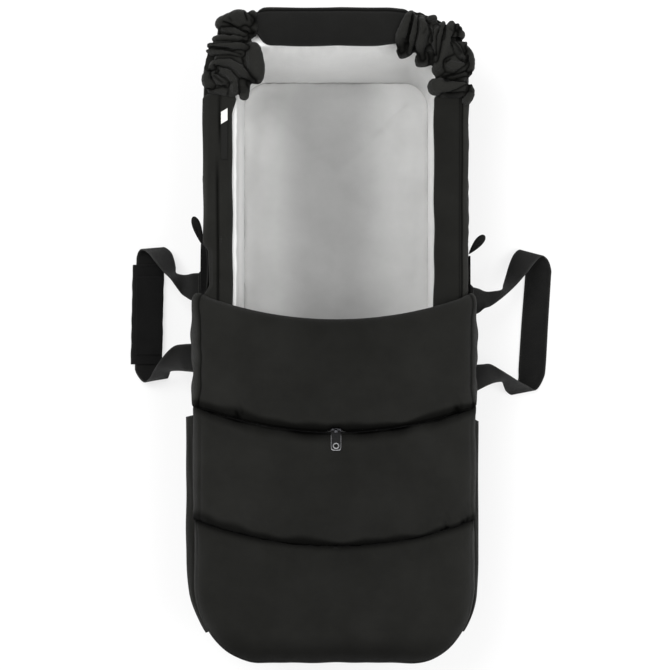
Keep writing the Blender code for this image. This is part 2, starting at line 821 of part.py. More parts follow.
def make_side_zip(side, sign, black, metal):
    """The two rows of one side zip, its slider and the guard strip over them."""
    middle_x = apron_half_width - fabric / 2
    head, foot = side_zip_head_y, side_zip_foot_y
    t, b = tape_thickness / 2, bead_thickness / 2
    lower_top = side_bead_z - zip_gap / 2
    upper_low = side_bead_z + zip_gap / 2

    def mirrored(section):
        return [(sign * x, z) for x, z in section]

    wall_x = wall_face_x + 0.0002
    lower = [
        (middle_x - t, lower_top), (middle_x + t, lower_top), (middle_x + b, lower_top - 0.0007),
        (middle_x + b, lower_top - bead_width), (middle_x + t, lower_top - bead_width - 0.0004),
        (middle_x + t, lower_top - side_tape_width), (wall_x + 2 * t, lower_top - side_tape_drop),
        (wall_x, lower_top - side_tape_drop), (middle_x - t, lower_top - side_tape_width - t),
        (middle_x - t, lower_top - bead_width - 0.0004), (middle_x - b, lower_top - bead_width),
        (middle_x - b, lower_top - 0.0007),
    ]
    upper_high = apron_skirt_z - gap
    upper = [
        (middle_x - t, upper_low), (middle_x + t, upper_low), (middle_x + b, upper_low + 0.0007),
        (middle_x + b, upper_low + bead_width), (middle_x + t, upper_low + bead_width + 0.0004),
        (middle_x + t, upper_high), (middle_x - t, upper_high),
        (middle_x - t, upper_low + bead_width + 0.0004), (middle_x - b, upper_low + bead_width),
        (middle_x - b, upper_low + 0.0007),
    ]
    prism_along_y(f"side_zip_tub_row_{side}", mirrored(lower), foot, head, black)
    row = prism_along_y(f"side_zip_apron_row_{side}", mirrored(upper), foot, head, black)

    inner = middle_x - b - slider_clearance
    outer = middle_x + b + slider_clearance
    plate_t, half_h = side_slider_plate, side_slider_height / 2
    web = zip_gap / 2 - slider_clearance
    z = side_bead_z
    profile = [
        (inner - plate_t, z - half_h), (inner, z - half_h), (inner, z - web), (outer, z - web),
        (outer, z - half_h), (outer + plate_t, z - half_h), (outer + plate_t, z + half_h),
        (outer, z + half_h), (outer, z + web), (inner, z + web), (inner, z + half_h),
        (inner - plate_t, z + half_h),
    ]
    middle_y = head - 0.002 - side_slider_length / 2
    low_y, high_y = middle_y - side_slider_length / 2, middle_y + side_slider_length / 2
    slider = prism_along_y(f"side_slider_{side}", mirrored(profile), low_y, high_y, metal)
    tab = [(sign * x, y) for x in (outer, outer + plate_t) for y in (middle_y, middle_y + side_tab_width)]
    tab = [tab[0], tab[1], tab[3], tab[2]]
    join(slider, plate(f"side_tab_helper_{side}", tab, z - side_tab_drop, z - web, metal))

    section = (
        (gap, 0.0085), (0.0019, 0.0085), (0.0045, 0.0020), (guard_reach[side], -0.0085),
        (guard_reach[side] - 0.0013, -0.0097), (0.0030, 0.0000), (gap, 0.0020),
    )
    runs = []
    for offset, z in section:
        plan = side_outline(sign, side_zip_head_y + 0.004, guard_turn, offset)
        runs.append([(x, y, apron_skirt_z + z) for x, y in plan])
    guard = loft(f"zip_guard_{side}", list(zip(*runs)), black)
    return row, slider, guard


# Handles


def make_strap_end(name, sign, hinge_y, end_y, webbing):
    """Webbing sewn flat along the wall, folded into a thick block where the handle leaves it."""
    half = webbing_width / 2
    low, high = hinge_y - half, hinge_y + half
    near, thin, thick = wall_face_x, wall_face_x + webbing_thickness, wall_face_x + strap_stack
    if end_y > hinge_y:
        plan = [(near, low), (thick, low), (thick, high), (thin, high + 0.003), (thin, end_y), (near, end_y)]
    else:
        plan = [(near, high), (thick, high), (thick, low), (thin, low - 0.003), (thin, end_y), (near, end_y)]
    z = handle_pivot_z
    outline = [(sign * x, y) for x, y in plan]
    return plate(name, outline, z - half, z + half, webbing)


def handle_route(side):
    """Points and width directions of the webbing, from the head hinge over the grip to the foot hinge.

    Seen from above, the webbing leaves the wall flat, twists on to its edge, curls over an ear
    and comes back underneath as the grip, which lies flat.
    """
    px, pz = handle_pivot_x, handle_pivot_z
    reach, low = handle_reach[side], grip_z[side]
    middle = (handle_ear_head_y[side] + handle_ear_foot_y[side]) / 2
    r = ear_radius

    def leg(hinge_y, ear_y, along):
        """One leg from its hinge to the grip; along is the way along Y from the grip to the ear."""
        return [
            ((px, hinge_y, pz), (0, along, 0)),
            ((px + 0.007, hinge_y, pz - 0.008), (0, along, 0)),
            ((px + 0.015, hinge_y, pz - 0.017), (0, along, 0)),
            ((px + 0.036, hinge_y + 0.42 * (ear_y - hinge_y), pz - 0.058), (-0.39, 0, -0.92)),
            ((reach - 0.014, ear_y - along * r * 0.9, low + 2 * r), (-0.75, 0, -0.60)),
            ((reach - 0.006, ear_y, low + r), (-1, 0, -0.25)),
            ((reach, ear_y - along * 0.85 * r, low + 0.12 * r), (-1, 0, 0)),
            ((reach, ear_y - along * 1.6 * r, low), (-1, 0, 0)),
            ((reach, ear_y - along * 2.4 * r, low), (-1, 0, 0)),
        ]

    head = leg(handle_hinge_head_y[side], handle_ear_head_y[side], 1)
    foot = leg(handle_hinge_foot_y[side], handle_ear_foot_y[side], -1)
    return head + [((reach, middle, low), (-1, 0, 0))] + foot[::-1]


def make_handle(side, sign, webbing):
    """The webbing loop: a flat strip carried along its route, its width turning with it."""
    route = handle_route(side)
    knots = [(*point, *width) for point, width in route]
    curve = smooth_path(knots, 4)
    centre, width = curve[:, :3], curve[:, 3:]
    tangent = np.gradient(centre, axis=0)
    tangent /= np.linalg.norm(tangent, axis=1)[:, None]
    width -= (width * tangent).sum(axis=1)[:, None] * tangent
    width /= np.linalg.norm(width, axis=1)[:, None]
    normal = np.cross(tangent, width)
    w, t = webbing_width / 2, webbing_thickness / 2
    corners = ((-w, -t), (w, -t), (w, t), (-w, t))
    loops = []
    for c, a, n in zip(centre, width, normal):
        loops.append([tuple((c + i * a + j * n) * (sign, 1, 1)) for i, j in corners])
    return loft(f"handle_{side}", loops, webbing)


def make_grip_wrap(padded, hook):
    """A padded sleeve round the left grip and its closing leaf on top."""
    x, z = -handle_reach["left"], grip_z["left"]
    low = handle_ear_foot_y["left"] + 1.7 * ear_radius
    high = handle_ear_head_y["left"] - 1.7 * ear_radius
    half, thick = wrap_width / 2, wrap_thickness / 2
    outer = [(-half, -thick * 0.5), (-half + 0.003, -thick), (half - 0.003, -thick), (half, -thick * 0.5),
             (half, thick * 0.5), (half - 0.003, thick), (-half + 0.003, thick), (-half, thick * 0.5)]
    slot_w, slot_t = webbing_width / 2 + gap, webbing_thickness / 2 + gap
    inner = [(-slot_w, -slot_t * 0.5), (-slot_w + 0.0005, -slot_t), (slot_w - 0.0005, -slot_t),
             (slot_w, -slot_t * 0.5), (slot_w, slot_t * 0.5), (slot_w - 0.0005, slot_t),
             (-slot_w + 0.0005, slot_t), (-slot_w, slot_t * 0.5)]
    rows = [(outer, low), (outer, high), (inner, high), (inner, low)]
    wrap = loft("grip_wrap", [[(x + a, y, z + b) for a, b in ring] for ring, y in rows], padded, ring=True)

    leaf_z = z + thick + gap + leaf_thickness / 2
    hinge_x = x + half - 0.003
    bead = leaf_thickness / 2
    section = [(0.0, -bead), (bead, 0.0), (0.0, bead), (-leaf_width, bead), (-leaf_width, -bead)]
    profile = [(hinge_x + a, leaf_z + b) for a, b in section]
    leaf = prism_along_y("grip_wrap_leaf", profile, low + 0.012, high - 0.012, hook)
    return wrap, leaf, (hinge_x, 0.0, leaf_z)


# Trim


def make_pull_tab(side, sign, webbing):
    """A short webbing loop folded flat, narrow where it is sewn in and round at its tip."""
    turn = math.radians(tab_turn[side])
    root_x, root_y = wall_face_x + 0.0008, tab_root_y[side]
    outer, inner = [], []
    for step in range(20):
        angle = 2 * math.pi * step / 20
        for scale, found in ((1.0, outer), (0.62, inner)):
            share = 0.5 - 0.5 * math.cos(angle) * scale
            bow = tab_half_width * math.sin(angle) * scale * (0.35 + 0.65 * share)
            along = share * tab_length[side]
            x = root_x + along * math.cos(turn) + bow * math.sin(turn)
            y = root_y + along * math.sin(turn) - bow * math.cos(turn)
            found.append((sign * x, y))
    low, high = tab_z, tab_z + tab_height
    rows = [(outer, low), (outer, high), (inner, high), (inner, low)]
    loft(f"pull_tab_{side}", [at_height(plan, z) for plan, z in rows], webbing, ring=True)


def make_label(paper):
    """A bare woven label lying on the left rim."""
    low = label_head_y - label_length
    outline = [
        (label_x, low), (label_x + label_width, low),
        (label_x + label_width, label_head_y - 0.006), (label_x, label_head_y),
    ]
    z = tub_height + gap
    plate("label", outline, z, z + label_thickness, paper)


# Assembly


def pivot(name, place, moving, parent=None):
    """An empty on a joint's axis that carries its moving pieces."""
    holder = bpy.data.objects.new(name, None)
    bpy.context.scene.collection.objects.link(holder)
    base = (0.0, 0.0, 0.0)
    if parent:
        holder.parent = parent
        base = parent.matrix_world.translation
    holder.location = [a - b for a, b in zip(place, base)]
    bpy.context.view_layer.update()
    for piece in moving:
        piece.parent = holder
        piece.location = [a - b for a, b in zip(piece.location, place)]
    return holder


def main():
    for old in list(bpy.data.objects):
        bpy.data.objects.remove(old)

    black = finish("Black quilted cloth", "2B2B29", 0.85)
    heavy = finish("Heavy black base cloth", "222221", 0.9)
    grey = finish("Grey lining cloth", "B9B9B9", 0.9)
    mattress_grey = finish("Grey mattress cloth", "A6A6A6", 0.9)
    foam = finish("White foam", "E4E2DC", 0.95)
    board = finish("Base board plastic", "55565A", 0.6)
    elastic = finish("Black elastic", "1E1E1E", 0.9)
    webbing = finish("Black webbing", "262625", 0.8)
    padded = finish("Padded grip cloth", "1C1C1B", 0.9)
    zip_black = finish("Black zip row", "1A1A1A", 0.5)
    metal = finish("Gunmetal zip slider", "3C3C3E", 0.3, 0.9)
    woven = finish("White woven label", "E6E6E6", 0.8)

    make_tub(black, heavy, grey, mattress_grey, foam, board)
    make_rim(black)
    make_head_band(black)
    make_scrunched_corner("scrunch_left", -1, band_left_x - 4 * gap, scrunch_left_folds, black, elastic)
    make_scrunched_corner("scrunch_right", 1, band_right_x + 4 * gap, scrunch_right_folds, black, elastic)
    make_label(woven)

    lower = make_lower_apron(black, foam, grey) + make_cross_zip(zip_black)
    side_rows = {}
    for side, sign in (("left", -1), ("right", 1)):
        row, slider, guard = make_side_zip(side, sign, zip_black, metal)
        lower += [row, guard]
        side_rows[side] = slider
        make_pull_tab(side, sign, webbing)
        hinge_head, hinge_foot = handle_hinge_head_y[side], handle_hinge_foot_y[side]
        make_strap_end(f"strap_end_{side}_head", sign, hinge_head, strap_head_y[side], webbing)
        make_strap_end(f"strap_end_{side}_foot", sign, hinge_foot, strap_foot_y, webbing)
        handle = make_handle(side, sign, webbing)
        swing = pivot(f"{side}_handle_swing", (sign * handle_pivot_x, 0.0, handle_pivot_z), [handle])
        if side == "left":
            wrap, leaf, leaf_pivot = make_grip_wrap(padded, webbing)
            wrap.parent = swing
            wrap.location = [-a for a in swing.location]
            pivot("grip_leaf_turn", leaf_pivot, [leaf], swing)
        pivot(f"{side}_side_slide", (sign * apron_half_width, side_zip_head_y, side_bead_z), [side_rows[side]])

    apron = pivot("apron_turn", (0.0, apron_foot_end, apron_skirt_z), lower)
    flap_pivot = (0.0, cross_seam_y + 0.004, apron_valley + puff_height)
    pivot("flap_turn", flap_pivot, make_flap(black, foam, grey), apron)
    slider, puller_z = make_cross_slider(metal)
    slide = pivot("cross_slide", (0.0, arc_centre_y, zip_z), [slider], apron)
    puller = make_cross_puller(metal, puller_z)
    puller.rotation_euler = (-math.radians(puller_rest_angle), 0.0, 0.0)
    pivot("puller_turn", (0.0, cross_seam_y, puller_z), [puller], slide)


main()
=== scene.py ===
# %% [markdown]
# # A soft baby nest, dressed for its portrait
# The nest is a padded fabric tub with a mattress, a scrunched head rim, a quilted foot apron that
# unzips, and two webbing handles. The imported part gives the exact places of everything, and this
# script sews the cloth over it: every soft solid gets its folds, seams and weave.

import itertools
import math

import bmesh
import bpy
import numpy as np
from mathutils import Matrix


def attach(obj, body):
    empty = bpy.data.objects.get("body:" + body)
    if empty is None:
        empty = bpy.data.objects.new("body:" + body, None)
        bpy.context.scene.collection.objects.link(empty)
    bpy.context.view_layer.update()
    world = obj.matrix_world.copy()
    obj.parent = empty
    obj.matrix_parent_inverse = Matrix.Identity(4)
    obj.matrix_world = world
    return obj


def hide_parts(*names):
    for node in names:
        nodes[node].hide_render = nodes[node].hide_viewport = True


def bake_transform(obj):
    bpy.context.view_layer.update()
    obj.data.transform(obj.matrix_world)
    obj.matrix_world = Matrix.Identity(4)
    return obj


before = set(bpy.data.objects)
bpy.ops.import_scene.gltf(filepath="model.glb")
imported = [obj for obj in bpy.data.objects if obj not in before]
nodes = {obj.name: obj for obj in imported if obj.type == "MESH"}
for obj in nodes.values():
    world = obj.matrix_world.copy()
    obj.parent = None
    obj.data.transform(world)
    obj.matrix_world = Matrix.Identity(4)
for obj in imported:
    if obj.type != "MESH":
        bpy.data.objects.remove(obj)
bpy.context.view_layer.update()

# %% [markdown]
# ## Camera
# The picture is taken from straight above, 2.4 m up. Seen from there, a millimetre on the
# rim is wider than one on the floor, so the height of the camera decides how much of the inner walls shows.

# %% Camera above the nest
camera_x, camera_height = -0.0012, 2.4
picture_width_at_rim, rim_height = 0.7973, 0.160


def put(name, data):
    """A new object that shows data, linked to the scene."""
    made = bpy.data.objects.new(name, data)
    bpy.context.scene.collection.objects.link(made)
    return made


camera = put("camera", bpy.data.cameras.new("camera"))
camera.location = (camera_x, 0.0, camera_height)
half_angle = math.atan(picture_width_at_rim / 2 / (camera_height - rim_height))
camera.data.lens = camera.data.sensor_width / 2 / math.tan(half_angle)
bpy.context.scene.camera = camera
print("camera half angle", round(math.degrees(half_angle), 2), "degrees")

# %% [markdown]
# ## Floor and light
# The nest lies on a white studio floor. The floor is painted as bright as the backdrop for the camera,
# but keeps a part of its own shading, so that a faint shadow stays under the handles.

# %% Materials: adding nodes and colours
# What a maths node makes of its numbers: a * b, a * b + c, or the larger of two.
multiply, multiply_add, larger = ({"operation": word} for word in ("MULTIPLY", "MULTIPLY_ADD", "MAXIMUM"))
white = (1, 1, 1, 1)


def linear(hex_colour):
    """An sRGB hex colour as linear light: below 0.04045 divided by 12.92, above it a power of 2.4."""
    srgb = np.array([int(hex_colour[i : i + 2], 16) for i in (0, 2, 4)]) / 255
    light = np.where(srgb <= 0.04045, srgb / 12.92, ((srgb + 0.055) / 1.055) ** 2.4)
    return (*light.tolist(), 1.0)


def add(tree, kind, settings=None, **inputs):
    """One node. settings are its own properties, and inputs are its sockets by name or number: a value, another
    node's output, or another node, whose first output is meant."""
    made = tree.nodes.new(kind)
    for key, value in (settings or {}).items():
        setattr(made, key, value)
    for key, value in inputs.items():
        socket = made.inputs[int(key[1:])] if key[1:].isdigit() else made.inputs[key.replace("_", " ")]
        if isinstance(value, bpy.types.Node):
            value = value.outputs[0]
        if isinstance(value, bpy.types.NodeSocket):
            tree.links.new(value, socket)
        else:
            socket.default_value = value
    return made


def seen_directly(tree):
    """1 for rays from the camera, a mirror or glass, and 0 for rays that only carry light about."""
    rays = add(tree, "ShaderNodeLightPath").outputs
    seen = add(tree, "ShaderNodeMath", larger, _0=rays["Is Camera Ray"], _1=rays["Is Glossy Ray"])
    return add(tree, "ShaderNodeMath", larger, _0=seen, _1=rays["Is Transmission Ray"])


def blank_material(name):
    """A new material with only a Principled shader, and its node tree."""
    made = bpy.data.materials.new(name)
    made.use_nodes = True
    return made, made.node_tree, made.node_tree.nodes["Principled BSDF"]


print("half of white in sRGB is linear", round(linear("808080")[0], 3))


# %% White floor that keeps a faint shadow
floor_size, floor_own_shade = 12.0, 0.30

floor_mesh = bpy.data.meshes.new("floor")
half = floor_size / 2
floor_mesh.from_pydata([(-half, -half, 0), (half, -half, 0), (half, half, 0), (-half, half, 0)], [], [(0, 1, 2, 3)])
floor = put("floor", floor_mesh)

floor_paint, tree, shader = blank_material("Matt white studio floor")
shader.inputs["Base Color"].default_value = linear("F4F4F4")
shader.inputs["Roughness"].default_value = 0.9
share = add(tree, "ShaderNodeMath", multiply, _0=seen_directly(tree), _1=1.0 - floor_own_shade)
glow = add(tree, "ShaderNodeEmission", Color=white, Strength=1.0)
mixed = add(tree, "ShaderNodeMixShader", Fac=share, _1=shader, _2=glow)
tree.links.new(mixed.outputs[0], tree.nodes["Material Output"].inputs["Surface"])
floor_mesh.materials.append(floor_paint)
print("floor", floor_size, "m wide")

# %% Sky of even light, and two large soft lamps
sky_for_light, sky_for_camera = 0.60, 1.0

world = bpy.data.worlds.new("studio")
world.use_nodes = True
bpy.context.scene.world = world
tree = world.node_tree
dim = add(tree, "ShaderNodeBackground", Color=white, Strength=sky_for_light)
bright = add(tree, "ShaderNodeBackground", Color=white, Strength=sky_for_camera)
mixed = add(tree, "ShaderNodeMixShader", Fac=seen_directly(tree), _1=dim, _2=bright)
tree.links.new(mixed.outputs[0], tree.nodes["World Output"].inputs["Surface"])


def soft_lamp(name, place, aim, size, power):
    """A square area lamp at place that faces aim."""
    lamp = put(name, bpy.data.lights.new(name, "AREA"))
    lamp.data.size = size
    lamp.data.energy = power
    lamp.location = place
    away = lamp.location - type(lamp.location)(aim)
    lamp.rotation_euler = away.to_track_quat("Z", "Y").to_euler()


soft_lamp("key", (-0.7, 0.6, 2.3), (0, 0, 0.1), 1.0, 40)
soft_lamp("fill", (1.0, -0.2, 2.2), (0, 0, 0.1), 1.2, 28)
bpy.context.scene.view_settings.view_transform = "Standard"
print("sky and two lamps")

# %% [markdown]
# ## Sewing tools
# Every new piece is a surface of two parameters: rows of points that run one way, columns the other.
# The whole grid is one numpy array, so a wrinkle is a sum that is worked out for all points at once.

# %% Grids of points as meshes


def grid_faces(rows, cols, wrap_cols=False):
    """Quads between neighbours of a grid: corner (i, j), then (i, j+1), (i+1, j+1) and (i+1, j)."""
    i = np.arange(rows - 1)[:, None]
    j = np.arange(cols if wrap_cols else cols - 1)[None, :]
    across = (j + 1) % cols
    corners = (i * cols + j, i * cols + across, (i + 1) * cols + across, (i + 1) * cols + j)
    return np.stack(np.broadcast_arrays(*corners), -1).reshape(-1, 4)


def surface(x, y, z):
    """A grid of points from three coordinates, each a grid, a row, a column or a number."""
    return np.stack(np.broadcast_arrays(x, y, z), -1)


def walked(points):
    """How far a line has come at each of its points, from 0 at the first."""
    return np.concatenate(([0.0], np.cumsum(np.linalg.norm(np.diff(points, axis=0), axis=1))))


def arc_lengths(points, axis):
    """Distance walked along one axis of a grid, averaged over the other."""
    steps = np.linalg.norm(np.diff(points, axis=axis), axis=2).mean(axis=1 - axis)
    return np.concatenate(([0.0], np.cumsum(steps)))


print("a grid of 3 by 4 points has", len(grid_faces(3, 4)), "faces")

# %% Reading and writing a mesh as arrays


def vertices(piece, kind="co"):
    """The piece's points as an array, or with kind "normal" their normals."""
    values = np.empty(len(piece.data.vertices) * 3)
    piece.data.vertices.foreach_get(kind, values)
    return values.reshape(-1, 3)


def move_to(piece, points):
    """Give the piece's points new places."""
    piece.data.vertices.foreach_set("co", points.ravel())
    piece.data.update()


def keep_map(mesh, flat):
    """Store a UV map in metres along the cloth, from one pair for each point."""
    corner = np.empty(len(mesh.loops), np.int32)
    mesh.loops.foreach_get("vertex_index", corner)
    mesh.uv_layers.new(name="cloth").data.foreach_set("uv", flat[corner].astype(np.float32).ravel())


def keep_values(mesh, name, values):
    """Store one number for each point as an attribute that a finish reads."""
    mesh.attributes.new(name, "FLOAT", "POINT").data.foreach_set("value", values.astype(np.float32).ravel())


def keep_painted_shading(mesh, fold):
    """Store the painted shading of each point: painted shade from 0 to 1, or as a negative number painted light."""
    keep_values(mesh, "fold", np.clip(fold, -1, 1))


# %% Sewing: from a grid to a piece of cloth


def sew(name, points, finish, weld=0.0, flip=False, fold=None):
    """A grid of points (rows, columns, 3) as a smooth mesh whose UV map is in metres along the cloth.
    fold, from -1 to 1 for each point, is painted shade where positive and painted light where negative, kept as an
    attribute that the cloth finishes read."""
    rows, cols = points.shape[:2]
    quads = grid_faces(rows, cols)
    mesh = bpy.data.meshes.new(name)
    mesh.from_pydata(points.reshape(-1, 3), [], (quads[:, ::-1] if flip else quads).tolist())
    along, across = arc_lengths(points, 0), arc_lengths(points, 1)
    keep_map(mesh, np.stack(np.meshgrid(across, along), -1).reshape(-1, 2))
    if fold is not None:
        keep_painted_shading(mesh, np.broadcast_to(fold, (rows, cols)))
    made = put(name, mesh)
    if weld:
        weld_points(made, weld)
    mesh.shade_smooth()
    mesh.materials.append(finish)
    return made


# %% Mending a mesh, and giving cloth its thickness


def change_mesh(piece, *steps):
    """Open the piece's mesh for editing, take each step on it, and write it back."""
    bm = bmesh.new()
    bm.from_mesh(piece.data)
    for step in steps:
        step(bm)
    bm.to_mesh(piece.data)
    bm.free()


def weld_points(piece, distance):
    """Merge points closer than distance, as where a seam or a pole closes."""
    change_mesh(
        piece,
        lambda bm: bmesh.ops.remove_doubles(bm, verts=bm.verts[:], dist=distance),
        lambda bm: bmesh.ops.dissolve_degenerate(bm, edges=bm.edges[:], dist=1e-7),
        lambda bm: bmesh.ops.recalc_face_normals(bm, faces=bm.faces[:]),
    )


def face_inwards(piece):
    """Turn every face round, for a bowl that is seen from inside."""
    change_mesh(piece, lambda bm: bmesh.ops.reverse_faces(bm, faces=bm.faces[:]))


def thicken(piece, thickness, offset=-1.0):
    """Solidify a cloth surface: inwards with offset -1, half to each side with offset 0."""
    wall = piece.modifiers.new("Cloth thickness", "SOLIDIFY")
    wall.thickness = thickness
    wall.offset = offset
    wall.use_even_offset = False


# %% Formulas for folds and curves
waves = 9


def wander(u, v, seed, length):
    """Smooth noise between about -1 and 1: nine sine waves of about one length, in seeded directions, added up
    and divided by the root of nine."""
    draw = np.random.default_rng(seed)
    angle, phase = draw.uniform(0, 2 * np.pi, (2, waves))
    stretch = draw.uniform(0.7, 1.5, waves)
    total = np.zeros(np.broadcast(u, v).shape)
    for a, p, s in zip(angle, phase, stretch):
        total += np.sin(2 * np.pi * s / length * (u * np.cos(a) + v * np.sin(a)) + p)
    return total / math.sqrt(waves)


def smooth_step(low, high, value):
    """0 below low, 1 above high, and between them t * t * (3 - 2 t) of the way's share t."""
    t = np.clip((value - low) / (high - low), 0, 1)
    return t * t * (3 - 2 * t)


def dip(distance, width):
    """A soft groove: exp(-(distance / width) squared), 1 at its middle."""
    return np.exp(-((distance / width) ** 2))


def fading(distance, width):
    """exp(-distance / width): 1 at a seam, about a third one width away."""
    return np.exp(-distance / width)


def signed_power(value, power):
    """value's size raised to a power, with its sign kept: makes a circle's cosine and sine a rounded box."""
    return np.sign(value) * np.abs(value) ** power


print("half way up a smooth step:", smooth_step(0, 1, 0.5), "and one width from a dip:", round(dip(1, 1), 3))

# %% Lines


def curve_through(points, count):
    """count points, evenly spaced by length, on a Catmull-Rom curve through the given points."""
    knots = np.asarray(points, float)
    padded = np.vstack((2 * knots[0] - knots[1], knots, 2 * knots[-1] - knots[-2]))
    t = np.linspace(0, len(knots) - 1, 40 * len(knots))
    i = np.minimum(t.astype(int), len(knots) - 2)
    f = (t - i)[:, None]
    a, b, c, d = (padded[i + k] for k in range(4))
    dense = 0.5 * (2 * b + (c - a) * f + (2 * a - 5 * b + 4 * c - d) * f**2 + (3 * b - a - 3 * c + d) * f**3)
    way = walked(dense[:, :3])
    even = np.linspace(0, way[-1], count)
    return np.stack([np.interp(even, way, column) for column in dense.T], -1)


print("sewing tools ready")

# %% [markdown]
# ## Wadding that swells
# Padded cloth is blown up from inside by its wadding, and stitches hold it back. A cloth simulation with
# air pressure does the same. It runs on a coarse copy of each pad, and the finely sewn pad follows it.

# %% Baking, remeshing, and carrying the cloth's moves over


def bake(piece):
    """Replace the piece's mesh by what its modifiers make of it."""
    graph = bpy.context.evaluated_depsgraph_get()
    result = bpy.data.meshes.new_from_object(piece.evaluated_get(graph))
    piece.modifiers.clear()
    piece.data = result


def remesh(piece, voxel):
    """Replace the piece's mesh by one closed skin of squares about one voxel wide."""
    skin = piece.modifiers.new("Skin", "REMESH")
    skin.mode = "VOXEL"
    skin.voxel_size = voxel
    bake(piece)


def carried_moves(points, places, moves, cell):
    """The cloth's moves, read at other points. Every cloth point adds its move, and 1, to its cell of a 3-D grid.
    Both are blurred by 1-2-1 along each axis and read between the 8 nearest cells: move = sum of moves / count."""
    low = np.minimum(points.min(axis=0), places.min(axis=0)) - 2 * cell
    high = np.maximum(points.max(axis=0), places.max(axis=0)) + 2 * cell
    shape = tuple(np.ceil((high - low) / cell).astype(int) + 2)
    at = np.ravel_multi_index(np.round((places - low) / cell).astype(int).T, shape)
    layers = [np.bincount(at, weight, math.prod(shape)).reshape(shape) for weight in (np.ones(len(at)), *moves.T)]
    for axis in range(3):
        layers = [np.roll(layer, 1, axis) + 2 * layer + np.roll(layer, -1, axis) for layer in layers]
    corner = np.floor((points - low) / cell).astype(int)
    part = (points - low) / cell - corner
    total = np.zeros((4, len(points)))
    for step in itertools.product((0, 1), repeat=3):
        share = np.prod(np.where(step, part, 1 - part), axis=1)
        total += share * np.stack([layer[tuple((corner + step).T)] for layer in layers])
    return (total[1:] / np.maximum(total[0], 1e-9)).T


# %% Blowing up a pad
cloth_frames = 20
wadding_pressure = 4.0
shrunk_by = 0.0012


def inflate(piece, free, cap, cell=0.005):
    """Wadding pushes the cloth out. A copy of the piece is closed, remeshed to squares of one cell, shrunk a
    little and blown up as cloth without gravity. No point moves further than cap, and the piece, whose own grid
    is finer than the cloth's, takes the moves times free(points), from 0 where stitches hold it to 1."""
    trial = put(piece.name + "_trial", piece.data.copy())
    change_mesh(
        trial,
        lambda bm: bmesh.ops.holes_fill(bm, edges=[edge for edge in bm.edges if edge.is_boundary], sides=0),
        lambda bm: bmesh.ops.recalc_face_normals(bm, faces=bm.faces[:]),
    )
    remesh(trial, cell)
    before = vertices(trial) - vertices(trial, "normal") * shrunk_by
    move_to(trial, before)
    cloth = trial.modifiers.new("Wadding pressure", "CLOTH")
    cloth.settings.use_pressure = True
    cloth.settings.uniform_pressure_force = wadding_pressure
    cloth.settings.effector_weights.gravity = 0
    cloth.collision_settings.use_collision = False
    cloth.point_cache.frame_start, cloth.point_cache.frame_end = 1, cloth_frames
    for moment in range(1, cloth_frames + 1):
        bpy.context.scene.frame_set(moment)
    bake(trial)
    moves = vertices(trial) - before
    far = np.linalg.norm(moves, axis=1, keepdims=True)
    moves *= np.minimum(1, cap / np.maximum(far, 1e-9))
    points = vertices(piece)
    given = carried_moves(points, before, moves, cell) * free(points)
    move_to(piece, points + given)
    bpy.data.objects.remove(trial)
    bpy.context.scene.frame_set(1)
    size = 1000 * np.linalg.norm(given, axis=1)
    print(piece.name, "swelled by up to", round(size.max(), 1), "mm, mean", round(size.mean(), 2))


print("a pad is blown up over", cloth_frames, "frames")

# %% [markdown]
# ## Cloth as a material
# Cloth is warp and weft threads that cross, so under a lens it is a field of small bumps. The UV map of
# each piece is in metres along the cloth, and two sine waves multiplied give one bump where two threads
# cross. Real threads here are about 0.3 mm apart, finer than a pixel, so they are drawn coarser to show.

# %% One recipe for every woven finish
# How strong painted shade is in a fold: at fold 1, dye, sheen and gloss keep a tenth.
painted_shade_strength = 0.90
cloth_gloss = 0.1


